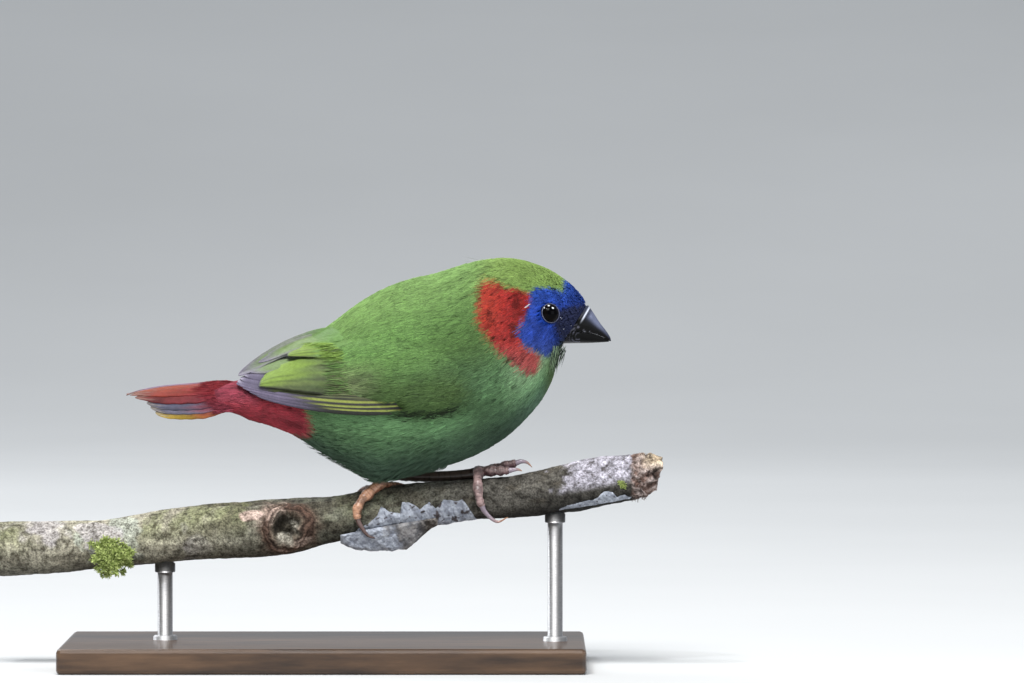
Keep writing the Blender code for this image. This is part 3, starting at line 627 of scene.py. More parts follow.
# Down a blade's seven points: painted shade, darkest at the root among the other barbs and lightest at the
# tip;
# how much less of it where the coat is shallow, a painted pale highlight towards the tip, and their places on
# the bake map.
BLADE_SHADE = np.array([0.62, 0.62, 0.62, 0.86, 1.0, 0.86, 1.25])
BLADE_SHALLOW_LESS_SHADE = np.array([0.34, 0.34, 0.34, 0.08, 0.0, 0.08, -0.05])
BLADE_TIP_HIGHLIGHT = np.array([0, 0, 0, 0.02, 0.03, 0.02, 0.10])
BLADE_MAP = np.array([(0, 0), (0, 0.5), (0, 1), (0.5, 0), (0.5, 0.5), (0.5, 1), (1, 0.5)]) * 0.003 - 0.0015


def barbs(name, roots, length, width, spread, per_feather, lift, droop, colour_jitter):
    """Feathers as fans of closed blades that follow the body from their roots towards the tail.

    Each blade has a triangular section and a pointed tip. The length may hold one value for each root.
    """
    count = len(roots)
    length = np.repeat(np.broadcast_to(length, count), per_feather)
    feather_tone = 1 + 0.045 * RNG.normal(size=count)
    twist = RNG.normal(0, 0.10, count)
    order = np.arange(per_feather) - (per_feather - 1) / 2
    base = np.repeat(roots, per_feather, axis=0)
    place = np.tile(order / ((per_feather - 1) / 2), count)
    number = len(place)
    reach = length * (1 - 0.28 * np.abs(place) ** 2) * RNG.uniform(0.78, 1.08, number)
    sideways = length * place * spread
    angle = np.repeat(twist, per_feather)
    raised = np.repeat(RNG.uniform(0.75, 1.2, count), per_feather) * lift * RNG.uniform(0.7, 1.3, number)
    depth = coat_depth(base[:, 0], base[:, 1])
    _, ahead, round_ = body_axes(base[:, 0], base[:, 1])
    per_station = np.linalg.norm(ahead, axis=-1)
    per_turn = np.maximum(np.linalg.norm(round_, axis=-1), 1.2)
    lines, normals = [], []
    for t in (0.0, 0.5, 1.0):
        back = np.abs(place) * reach * 0.12 + reach * t
        aside = sideways * (0.25 + FAN * t + (0.75 - FAN) * t * t) + angle * reach * t
        station = base[:, 0] - back / per_station
        overrun = np.maximum(0.0, -station) * per_station
        turn = base[:, 1] + aside / per_turn
        rise = -depth * (1 - t) ** 1.5 + raised * np.sin(math.pi * min(1.0, 0.25 + 0.62 * t)) - droop * t * t
        spot, normal = body_surface(np.maximum(station, 0.0), turn, rise)
        spot[:, 0] -= overrun
        lines.append(clear_of_eyes(spot))
        normals.append(normal)
    root, middle, tip = lines
    across = [unit(np.cross(unit(point - root), normal)) for point, normal in zip((middle, tip), normals)]
    half = (width * RNG.uniform(0.8, 1.2, number) / 2)[:, None]
    shape = []
    for centre, aside, normal, wide in zip((root, middle), across, normals, (0.75, 1.0)):
        side, out = aside * half * wide, normal * half * 0.7
        shape += [centre - side, centre + out, centre + side]
    points = np.stack(shape + [tip], axis=1)
    tone = np.repeat(feather_tone, per_feather) * (1 + 0.20 * RNG.normal(size=number))
    tone = np.clip(tone * (1 - 0.12 * np.abs(place)), 0.45, 1.6)
    hue = coat_colour(middle, colour_jitter)
    shallow = smooth(0.75 * COAT_DEPTH, 0.3 * COAT_DEPTH, depth)[:, None]
    # Painted shade along the blade, less where the coat is shallow, and a painted highlight towards the tip.
    along_shade = BLADE_SHADE + shallow * BLADE_SHALLOW_LESS_SHADE
    colours = hue[:, None] * tone[:, None, None] * along_shade[:, :, None]
    colours = colours + BLADE_TIP_HIGHLIGHT[None, :, None] * hue.max(axis=-1)[:, None, None]
    patch = skin_place(np.clip(base[:, 0], 0, LAST_STATION), (base[:, 1] + math.pi) % (2 * math.pi) - math.pi)
    return name, points, colours, patch[:, None] + BLADE_MAP


def blade_faces(number):
    """Faces of a number of blades, of seven points each."""
    return (BLADE_FACES[None] + np.arange(number)[:, None, None] * 7).reshape(-1, 3).tolist()


def coat_pieces(material, slot, *parts):
    """Joins blades into pieces of fewer than 200,000 triangles each."""
    for name, points, colours, uv in parts:
        for number, first in enumerate(range(0, len(points), BLADES_IN_PIECE)):
            chosen = slice(first, first + BLADES_IN_PIECE)
            block = points[chosen]
            faces = blade_faces(len(block))
            thing = new_mesh_object(f"{name}_{number + 1}", block.reshape(-1, 3), faces, False)
            paint(thing, np.clip(colours[chosen].reshape(-1, 3), 0, 1))
            bake_map(thing, uv[chosen].reshape(-1, 2))
            keep(thing, slot, material)


def in_wing(spots):
    """Whether points of the side view lie under the folded flight feathers, where no coat is seen."""
    x, z = spots[..., 0], spots[..., 2]
    low = wing_edge(x) + 0.7
    high = np.interp(x, (-16, -12, -7, 0, 8), (57.0, 60.5, 63.0, 65.6, 65.0))
    front = np.where(z < 53.7, 18.6, np.interp(z, (60.0, 64.5), (6.5, 1.5)))
    front = front + np.where(z < 53.7, 0.5, 1.6) * RNG.normal(size=x.shape)
    return (x > -14.5) & (x < front) & (z > low) & (z < high) & (np.abs(spots[..., 1]) > 2)


def by_station(stations, pairs):
    """A measure along the body, from (station, value) pairs."""
    return np.interp(stations, *zip(*pairs))


def at_eye(spots):
    near = np.hypot(spots[:, 0] - EYE_X, spots[:, 2] - EYE_Z) < 2.06
    return near & (np.abs(spots[:, 1]) > 3)


def build_coat():
    """All the small feathers, densest and shortest on the face."""
    roots = np.concatenate([scatter(0.3, 2.6, 0.6), scatter(2.6, 13.0, 0.8)])
    roots = roots[~in_wing(body_plain(*roots.T))]
    station, round_ = roots[:, 0], np.abs(roots[:, 1])
    length = by_station(station, [(0, 5.4), (1.5, 4.2), (5, 4.2), (10, 3.8), (12, 3.2), (13, 2.6)])
    length = length * (1 + 0.3 * smooth(1.6, 0.4, station) * RNG.uniform(-1, 1, len(station)))
    length = length * np.where((round_ > 2.2) & (station > 5), 1.12, 1.0)
    body = barbs("coat_body", roots, length, 0.15, 0.22, 12, 0.28, 0.3, 0.4)
    first = 5.6 + RNG.uniform(0, 1.6, len(roots))
    hanging = roots[(round_ > 2.1) & (station > first) & (station < 9.6)][::2]
    shaggy = barbs("coat_shaggy", hanging, 3.2, 0.15, 0.2, 7, 0.4, -0.45, 0.4)
    roots = scatter(12.6, LAST_STATION - 0.05, 0.41)
    roots = roots[~at_eye(body_plain(*roots.T))]
    length = by_station(roots[:, 0], [(12.6, 2.5), (14, 1.8), (16, 1.3), (18, 0.8)])
    face = barbs("coat_head", roots, length, 0.105, 0.22, 7, 0.24, 0.2, 0.25)
    coat_pieces(coat_material("feather_coat"), "body_green", body, shaggy)
    coat_pieces(coat_material("face_coat", 0.7, 0.0, 0.1), "face_blue", face)


def strands(name, roots, tips, width, colours, slot, material, bend=0.15):
    """Loose single barbs from root to tip, each a closed blade."""
    number = len(roots)
    ahead = unit(tips - roots)
    side = unit(np.cross(ahead, RNG.normal(size=(number, 3)))) * width / 2
    out = unit(np.cross(ahead, side)) * width * 0.35
    middle = (roots + tips) / 2 + out / width * bend * np.linalg.norm(tips - roots, axis=1)[:, None]
    points = np.stack([roots - side * 0.7, roots + out, roots + side * 0.7,
                       middle - side, middle + out, middle + side, tips], 1)
    thing = new_mesh_object(name, points.reshape(-1, 3), blade_faces(number), False)
    paint(thing, np.repeat(colours, 7, axis=0))
    keep(thing, slot, material)


def pick(share, first, second):
    """One of two colours for each point, the first where the share is true."""
    return np.where(share[:, None], np.array(first), np.array(second))


def between_points(first, last, number):
    return np.array(first) + (np.array(last) - np.array(first)) * RNG.uniform(0, 1, (number, 3))


# Painted highlights, pale flecks on the wet skin at the lores and the gape: x, z and colour.
HIGHLIGHT_FLECKS = [
    (47.15, 69.6, (0.75, 0.78, 0.9)),
    (47.3, 69.3, (0.6, 0.62, 0.75)),
    (47.75, 67.3, (0.35, 0.37, 0.45)),
    (48.3, 66.0, (0.25, 0.27, 0.34)),
    (49.3, 67.9, (0.2, 0.2, 0.25)),
]


def build_loose_barbs():
    """Strands under the chin and over feather edges, painted highlight flecks at the face, hairs, a mark by
    the ear.
    """
    material = coat_material("loose_barbs")
    count = 70
    for name, side in SIDES:
        x, z = RNG.uniform(45.4, 48.0, count), RNG.uniform(61.6, 64.2, count)
        roots = side_point(x, z, 0.35, side)
        fall = RNG.uniform(0.5, 1.0, count)
        tips = side_point(x - 0.9 * fall, z - 4.6 * fall, RNG.uniform(0.5, 1.1, count), side)
        tone = pick(RNG.uniform(0, 1, count) > 0.45, (0.22, 0.31, 0.19), (0.012, 0.018, 0.015))
        strands(f"strands_chin_{name}", roots, tips, 0.13, tone, "body_green", material)
    count = 46
    free = between_points((46.9, -1.6, 62.9), (48.2, 1.6, 64.2), count)
    free_tips = free + between_points((-1.7, -0.3, -3.9), (-0.7, 0.3, -2.0), count)
    tone = pick(RNG.uniform(0, 1, count) > 0.6, (0.26, 0.34, 0.24), (0.02, 0.028, 0.025))
    strands("strands_chin_free", free, free_tips, 0.13, tone, "body_green", material)
    highlight_x, highlight_z, tone = (np.array(part) for part in zip(*HIGHLIGHT_FLECKS))
    for name, side in SIDES:
        shoulder_barbs(name, side, material)
        tail_barbs(name, side, material)
        # Painted highlights on the wet skin by the bill.
        spot = side_point(highlight_x, highlight_z, 0.45, side)
        strands(f"strands_highlight_fleck_{name}", spot, spot + (-0.22, side * 0.1, 0.05), 0.17, tone, "face_blue",
                material, 0.1)
    hair = np.array([(31.8, -1.0, 80.9), (31.2, 0.5, 80.8), (30.2, -0.4, 80.5)])
    hair_tips = hair + np.array([(-4.6, 0, 0.35), (-3.8, 0.3, 0.9), (-3.0, -0.5, 0.5)])
    strands("strands_hair", hair, hair_tips, 0.05, np.full((3, 3), 0.5), "body_green", material, 0.1)
    for name, side in SIDES:
        spot = side_point(np.linspace(40.2, 41.0, 9), np.linspace(71.7, 72.3, 9), 0.5, side)
        strands(f"strands_ear_{name}", spot, spot + (-0.45, side * 0.2, -0.1), 0.13, np.full((9, 3), 0.6),
                "face_blue", material, 0.1)


def shoulder_barbs(name, side, material):
    """Long barbs from the shoulder over the roots of the tertials, so that the edge is soft."""
    count = 520
    z = RNG.uniform(54.4, 64.6, count)
    x = np.interp(z, (60.0, 64.5), (6.2, 1.6)) + RNG.uniform(-2.6, 0.8, count)
    long = 1.4 + 4.4 * RNG.uniform(0, 1, count) ** 1.6
    high = np.interp(z, (55, 60, 62, 65), (1.35, 1.75, 1.85, 2.0))
    roots = side_point(x, z, high - 0.75, side)
    slope = np.interp(z, (55, 65), (0.02, 0.10)) + RNG.normal(0, 0.05, count)
    tips = side_point(x - long, z - slope * long, high + RNG.uniform(-0.15, 0.1, count), side)
    green = mix((0.150, 0.270, 0.080), (0.20, 0.31, 0.068), smooth(60.5, 62.0, z))
    olive, dark = np.array((0.150, 0.180, 0.085)), np.array((0.07, 0.088, 0.042))
    chance = (RNG.uniform(0, 1, count) + np.interp(z, (56, 62), (0.15, -0.5)))[:, None]
    tone = np.where(chance > 0.97, dark, np.where(chance > 0.45, olive, green))
    tone = tone * RNG.uniform(0.85, 1.3, (count, 1))
    strands(f"strands_wing_{name}", roots, tips, 0.15, tone, "wing_olive", material, 0.06)


def roof_row(x):
    """The tail's roof at x: ridge x and z, half width and height."""
    order = np.argsort(TAIL_ROOF[:, 0])
    return curve_rows(TAIL_ROOF, np.interp(x, TAIL_ROOF[order, 0], order))


def roof_point(x, across, lift, side):
    """Points over the tail's roof, from 0 at its ridge to 1 at its lower edge."""
    row, turn = roof_row(x), across * math.pi / 2
    y = (row[..., 2] + lift) * np.sin(turn)
    z = row[..., 1] + lift - (row[..., 3] + lift) * (1 - np.cos(turn))
    return np.stack([x + 0 * y, side * y, z], axis=-1)


def tail_barbs(name, side, material):
    """Long, uneven crimson barbs from the rump over the roots of the tail feathers."""
    count = 800
    across = RNG.uniform(0.06, 1.0, count) ** 0.9
    x = RNG.uniform(-20.8, -18.0, count)
    long = 1.6 + 6.2 * RNG.uniform(0, 1, count) ** 2.2 * smooth(1.05, 0.5, across) * smooth(-0.3, 0.5, across)
    roots = roof_point(x, across, -0.25, side)
    tips = roof_point(x - long, across, RNG.uniform(0.02, 0.16, count), side)
    crimson = mix((0.25, 0.024, 0.032), (0.24, 0.040, 0.062), smooth(0.5, 0.9, across))
    tone = mix(crimson, (0.11, 0.012, 0.018), RNG.uniform(0, 1, count) ** 3)
    strands(f"strands_tail_{name}", roots, tips, 0.19, tone * RNG.uniform(0.8, 1.25, (count, 1)), "tail_red",
            material, 0.05)


def station_of(x, z):
    """The stations whose section lines pass through points of the side view."""
    low, high = np.zeros(np.shape(x)), np.full(np.shape(x), float(LAST_STATION))
    for _ in range(30):
        middle = (low + high) / 2
        row = curve_rows(BODY_SECTIONS, middle)
        top, bottom = row[..., 0:2], row[..., 2:4]
        along = top - bottom
        ahead = (x - bottom[..., 0]) * along[..., 1] - (z - bottom[..., 1]) * along[..., 0]
        low = np.where(ahead > 0, middle, low)
        high = np.where(ahead > 0, high, middle)
    return (low + high) / 2


def side_point(x, z, lift, side):
    """Points, raised over the body's side, that the side view shows at x and z."""
    x, z, lift = np.broadcast_arrays(x, z, lift)
    row = curve_rows(BODY_SECTIONS, station_of(x, z))
    reach = (row[..., 0:2] - row[..., 2:4]) / 2
    middle = (row[..., 0:2] + row[..., 2:4]) / 2
    length = np.linalg.norm(reach, axis=-1)
    offset = np.stack([x, z], axis=-1) - middle
    full = (offset * reach).sum(-1) / length / (length + lift)
    up = np.clip(full, -0.965, 0.965)
    beyond = (full - up) * (length + lift) / length
    spot = middle + reach * ((1 + lift / length) * up + beyond)[..., None]
    across = (row[..., 4] + lift) * np.sqrt(1 - up * up) * (1 - LOW_FULLNESS * up)
    return np.stack([spot[..., 0], side * across, spot[..., 1]], axis=-1)


def vane_width(t, full, fullness):
    rise = 0.55 + 0.45 * np.minimum(1.0, t / 0.3)
    fall = np.maximum(1 - t**fullness, 0.0) ** 0.5
    return full * rise * np.maximum(fall, 0.04)


def paint_primary(t, share, level):
    """Dark web with a thin yellow green edge that turns lilac grey towards the tip."""
    lilac = mix((0.13, 0.11, 0.17), (0.20, 0.17, 0.26), smooth(0.05, 0.4, share))
    end = 0.56 + 0.65 * level if level >= 0 else -1.0
    stripe = smooth(0.03, 0.09, share) * smooth(0.30, 0.22, share) * smooth(end + 0.05, end - 0.14, t)
    colour = layer((0.030, 0.032, 0.026), (lilac * (0.74 + 2.0 * max(level, 0.0)), smooth(0.50, 0.80, t)),
                   ((0.05, 0.045, 0.06), np.exp(-((share - 0.45) / 0.05) ** 2) * 0.6),
                   ((0.34, 0.385, 0.09), stripe), ((0.022, 0.025, 0.016), smooth(0.10, 0.07, t)))
    if level > 0.1:
        lines = smooth(-0.3, 0.7, np.sin(64 * share + 2.0 * np.sin(7 * t)))
        olive = mix((0.028, 0.033, 0.016), (0.105, 0.12, 0.05), lines)
        colour = mix(colour, olive, smooth(0.33, 0.40, share) * smooth(0.92, 0.72, t))
    return mix(colour, (0.02, 0.02, 0.022), smooth(0.05, 0.0, share) * smooth(1.0, 0.75, t))


def paint_secondary(t, share, level):
    edge = smooth(0.10, 0.2, share) * smooth(0.4, 0.3, share) * smooth(0.75, 0.5, t)
    return layer((0.032, 0.034, 0.03), ((0.10, 0.12, 0.04), edge),
                 ((0.125, 0.11, 0.165), smooth(0.6, 0.85, t)),
                 ((0.38, 0.35, 0.44), smooth(0.93, 1.0, t) * 0.7))


def paint_tertial(t, share, level):
    """Yellow green, olive along the lower edge and towards the root, with a fine dark rim."""
    lower = level < 1
    bright = mix((0.14, 0.22, 0.043), (0.195, 0.29, 0.055), smooth(0.45, 0.85, t))
    edge = smooth(0.55, 0.15, share + 0.35 * smooth(0.7, 1.0, t)) * lower
    lines = smooth(0.2, 0.9, np.sin(70 * share + 2.5 * np.sin(5 * t))) * smooth(0.75, 0.4, share)
    olive = (0.13, 0.24, 0.07)
    if lower:
        olive = mix((0.11, 0.15, 0.06), (0.055, 0.085, 0.028), smooth(0.7, 0.2, share))
    fade = smooth(0.76, 0.44 if lower else 0.58, t + 0.08 * np.sin(23 * share + 3 * t))
    veins = smooth(-0.1, 0.8, np.sin(52 * share - 9 * t + 1.5 * np.sin(31 * share))) * smooth(0.72, 0.55, t)
    return layer(bright, ((0.10, 0.125, 0.045), edge * 0.85), ((0.045, 0.06, 0.025), lines * 0.6),
                 (olive, fade * 0.9), ((0.045, 0.05, 0.028), veins * 0.55 * lower),
                 ((0.045, 0.045, 0.04), smooth(0.09, 0.02, share) * 0.8),
                 ((0.12, 0.11, 0.15), smooth(0.98, 1.0, t)))


def paint_inner(t, share, level):
    """Innermost tertials along the back: grey green with lilac edges."""
    edges = np.maximum(smooth(0.3, 0.1, share), smooth(0.7, 0.9, share))
    return layer((0.17, 0.24, 0.10), ((0.20, 0.215, 0.185), edges),
                 ((0.07, 0.07, 0.09), smooth(0.05, 0.0, share) * 0.8),
                 ((0.13, 0.24, 0.07), smooth(0.5, 0.2, t)),
                 ((0.23, 0.20, 0.28), smooth(0.72, 1.0, t) * 0.85))


def web_bumps(t, share, length, breadth):
    """Place on the feather's web, for the barbs: along, across, and a random offset, 0 to 1."""
    return np.stack([t * length / 40, share * breadth / 40, np.full(t.shape, RNG.uniform(0, 1))], axis=-1)


def wing_feather(parts, side, root, tip, width, bow, level, fullness, skew, painter):
    """One flight feather or covert on the flank; its lower edge lies outermost. Roots lie under the coat."""
    root, tip = np.array(root), np.array(tip)
    length = np.linalg.norm(tip - root)
    along = (tip - root) / length
    across = np.array((along[1], -along[0]))
    t, share = unit_grid(36, 17)
    t = 1 - (1 - t) ** 1.5
    breadth = vane_width(t, width, fullness)
    frayed = 1 + 0.015 * np.sin(t * 60 + share * 9 + RNG.uniform(0, 6))
    lowered = skew * (width - breadth) / 2 * smooth(0.2, 0.4, t)
    raised = bow * np.sin(math.pi * t) + breadth * (share - 0.5) * frayed - lowered
    middle = root + (tip - root) * t[..., None] + across * raised[..., None]
    camber = 0.3 * np.sin(math.pi * np.clip(share * 1.2, 0, 1)) * smooth(0.0, 0.3, t)
    lift = 0.35 + level + 0.5 * np.minimum(1.0, 3 * t) * (1 - share) ** 0.8 + camber
    if painter is not paint_primary:
        start = 0.74 if level > 1 else 0.60
        lift = lift - (level + 0.6) * smooth(start, start - 0.26, t)
    lift = lift - 0.9 * smooth(0.16, 0.0, t)
    sheet = side_point(middle[..., 0], middle[..., 1], lift, side)
    shaft = 0.10 * np.exp(-((share - 0.4) / 0.035) ** 2) * (1 - 0.6 * t)
    thickness = (0.08 + 0.06 * (1 - t) + shaft) * np.where((share < 0.01) | (share > 0.99), 0.45, 1)
    colour = painter(t, share, level) * RNG.uniform(0.93, 1.07)
    parts.add_vane(sheet, thickness, colour, web_bumps(t, share, length, width))


# Feathers of the folded wing, lowest first: painter, then one row for each feather with its root and
# tip (x, z), width, how far its middle is raised, level over the body, fullness of the tip, and skew,
# which is 1 where the lower edge runs straight on to the tip.
WING_FEATHERS = {
    "primaries": (paint_primary, [
        ((17.6, 51.4), (-13.4, 54.1), 2.0, -1.05, -0.08, 5, 0.0),
        ((18.6, 51.98), (-14.8, 54.8), 2.2, -1.07, 0.0, 5, 0.0),
        ((18.4, 52.87), (-16.2, 55.6), 2.2, -1.16, 0.08, 5, 0.0),
        ((18.2, 53.65), (-17.5, 56.4), 2.5, -0.84, 0.16, 5, 0.0),
    ]),
    "secondaries": (paint_secondary, [
        ((2.0, 55.3), (-17.3, 56.8), 2.4, -0.5, 0.24, 5, 0.0),
        ((2.0, 56.2), (-16.8, 57.4), 2.6, -0.3, 0.30, 4, 0.0),
        ((1.0, 57.6), (-16.0, 58.1), 2.8, 0.0, 0.36, 4, 0.0),
    ]),
    "inner": (paint_inner, [
        ((0.0, 60.8), (-15.4, 59.0), 3.5, 0.4, 0.42, 3, 0.0),
        ((6.0, 67.4), (-17.2, 58.0), 3.0, 1.5, 0.5, 3.5, 0.0),
        ((6.0, 66.2), (-13.2, 60.6), 2.6, 1.3, 0.75, 3, 0.0),
    ]),
    "tertials": (paint_tertial, [
        ((12.5, 56.9), (-12.5, 59.95), 8.2, 0.2, 0.95, 2.5, 1.0),
        ((12.0, 63.3), (-7.3, 63.8), 4.2, 0.2, 1.02, 2.3, 0.9),
    ]),
}


def web_material(name, roughness=0.55):
    """Flight feathers: painted colour, with fine barbs slanting off the shaft."""
    shader = Shader(name, roughness, specular=0.25)
    web = shader.add("ShaderNodeSeparateColor", Color=shader.tint("web"))
    slant = shader.math("SUBTRACT", web.outputs["Red"], shader.math("MULTIPLY", web.outputs["Green"], 1.3))
    stripes = shader.math("SINE", shader.math("MULTIPLY", slant, 2 * math.pi * 40 / 0.24))
    barb = shader.add("ShaderNodeCombineXYZ", X=shader.math("MULTIPLY", slant, 40.0),
                      Y=shader.math("MULTIPLY", web.outputs["Green"], 6.0), Z=web.outputs["Blue"])
    streaks = shader.noise(barb.outputs["Vector"], 3.2, 4.0, 0.65)
    fine = shader.noise(shader.place(), 1500.0, 3.0)
    ridge = shader.math("ADD", shader.math("MULTIPLY", stripes, 0.25), shader.math("ADD", fine, streaks))
    shade = shader.math("ADD", shader.math("MULTIPLY", ridge, 0.55), 0.42)
    grey = shader.add("ShaderNodeCombineColor", Red=shade, Green=shade, Blue=shade).outputs["Color"]
    shader.colour(shader.blend(shader.tint(), grey, 1.0, "MULTIPLY"))
    shader.bump(ridge, 0.5, 0.00015)
    return shader.material


def build_wings():
    material = web_material("flight_feathers")
    for name, side in SIDES:
        for tier, (painter, rows) in WING_FEATHERS.items():
            parts = Parts()
            for row in rows:
                wing_feather(parts, side, *row, painter)
            nodes = (f"wing_{name}",) if tier == "tertials" else ()
            keep(parts.build(f"wing_{name}_{tier}"), "wing_olive", material, *nodes)


TAIL_ROOF = np.array([
    (-19.2, 57.0, 3.3, 6.2),
    (-23.0, 56.8, 4.2, 6.6),
    (-29.0, 56.4, 5.0, 6.6),
    (-33.0, 56.0, 4.9, 6.2),
    (-37.0, 55.2, 3.6, 4.4),
    (-40.0, 54.2, 2.4, 2.6),
])
TAIL_ROOT_X = -19.4
TAIL_TIPS = [-39.6, -38.8, -37.8, -35.4, -34.6, -33.6]
# Each pair: middle and half width round the roof, 0 at the ridge to 1 at the lower edge, then the
# colours of its web, of its lower edge and of its tip.
TAIL_PAIRS = [
    (0.14, 0.20, (0.17, 0.022, 0.014), (0.21, 0.036, 0.013), (0.23, 0.14, 0.11)),
    (0.36, 0.22, (0.20, 0.036, 0.013), (0.17, 0.022, 0.013), (0.23, 0.14, 0.11)),
    (0.54, 0.22, (0.17, 0.018, 0.016), (0.10, 0.012, 0.014), (0.26, 0.17, 0.14)),
    (0.72, 0.17, (0.035, 0.034, 0.055), (0.070, 0.068, 0.105), (0.20, 0.18, 0.17)),
    (0.82, 0.15, (0.065, 0.068, 0.11), (0.095, 0.092, 0.13), (0.24, 0.21, 0.18)),
    (0.92, 0.15, (0.09, 0.088, 0.11), (0.35, 0.23, 0.025), (0.32, 0.27, 0.17)),
]


def paint_tail(pair, x, t, across):
    """Crimson or grey web, lighter at the tip and streaked along it, lilac by the ridge."""
    _, _, inner, edge, end = TAIL_PAIRS[pair]
    lilac = smooth(0.75, 0.5, across) * smooth(0.05, 0.3, t) * (pair == 0) * 0.9
    rusty = smooth(0.35, 0.7, across) * smooth(0.6, 0.3, t) * (pair == len(TAIL_PAIRS) - 1)
    colour = layer(inner, (edge, smooth(0.25, 0.85, across)),
                   (np.asarray(inner) * 0.5, np.exp(-((across - 0.5) / 0.035) ** 2) * 0.3),
                   ((0.30, 0.24, 0.33), lilac), ((0.40, 0.14, 0.03), rusty),
                   ((0.20, 0.018, 0.03), smooth(0.62, 0.05, t + 0.10 * np.sin(17 * across + pair)) * 0.8))
    streaks = fractal(np.stack([0.10 * x, 1.4 * across + 3 * pair, 0 * t], -1), 0.16, 3, 17)
    ends = smooth(0.80, 1.0, t + 0.10 * np.sin(21 * across + 2 * pair)) * (0.85 if pair < 3 else 1.0)
    return mix(shade(colour, 1 + 0.5 * streaks), end, ends)


def build_tail():
    """Six pairs of tail feathers, closed like a roof, the central pair longest and on top."""
    parts = Parts()
    t, across = unit_grid(34, 13)
    t = 1 - (1 - t) ** 1.5
    for pair, tip in enumerate(TAIL_TIPS):
        for _, side in SIDES:
            x = TAIL_ROOT_X + (tip - TAIL_ROOT_X) * t
            centre, half_width = TAIL_PAIRS[pair][:2]
            half = vane_width(t, half_width, 5 if pair < 2 else 3.5)
            half = half * (1 + 0.03 * np.sin(40 * t + 7 * across))
            sink = 0.6 * np.maximum(0.0, 1 - 4 * t) + 0.24 * (1 - across)
            sink = sink + (0.15 if side == RIGHT and pair == 0 else 0.0)
            sheet = roof_point(x, centre + half * (2 * across - 1), -sink, side)
            shaft = 0.12 * np.exp(-((across - 0.5) / 0.04) ** 2) * (1 - 0.7 * t)
            parts.add_vane(sheet, 0.09 + shaft, paint_tail(pair, x, t, across), web_bumps(t, across, 20, 2.4))
    keep(parts.build("tail_feathers"), "tail_red", web_material("tail_feathers"), "tail")


UPPER_BILL = np.array([
    (52.65, 71.9, 49.5, 66.8, 3.4),
    (53.8, 70.2, 51.0, 66.72, 3.05),
    (54.9, 68.5, 52.6, 66.5, 2.45),
    (56.05, 67.0, 54.3, 66.1, 1.75),
    (56.95, 65.65, 56.0, 65.3, 0.9),
    (57.2, 64.8, 57.0, 64.7, 0.2),
])
LOWER_BILL = np.array([
    (49.5, 66.8, 47.95, 64.35, 3.3),
    (51.0, 66.72, 50.2, 64.4, 2.9),
    (52.6, 66.5, 52.2, 64.42, 2.3),
    (54.3, 66.1, 54.1, 64.5, 1.6),
    (55.8, 65.45, 55.7, 64.6, 0.8),
    (56.8, 64.98, 56.7, 64.68, 0.2),
])
NOSTRIL = np.array((53.0, 2.3, 70.0))


def bill_rings(table, over):
    """Rings along half of the bill, from one corner of the mouth round to the other."""
    position = np.linspace(-0.5, 5, 60)[:, None]
    row = curve_rows(table, np.maximum(position[:, 0], 0))
    row[:, :4] += np.minimum(position, 0) * (1.6, 0.4, 1.6, 0.4)
    mouth, edge = (row[:, 2:4], row[:, 0:2]) if over else (row[:, 0:2], row[:, 2:4])
    turn = np.linspace(0, math.pi, 48)[None, :]
    spot = mouth[:, None] + (edge - mouth)[:, None] * (np.sin(turn) ** 0.85)[..., None]
    gap = 0.04 if over else -0.04
    y = row[:, 4][:, None] * np.cos(turn)
    return np.stack([spot[..., 0], y, spot[..., 1] + gap], axis=-1), position, turn


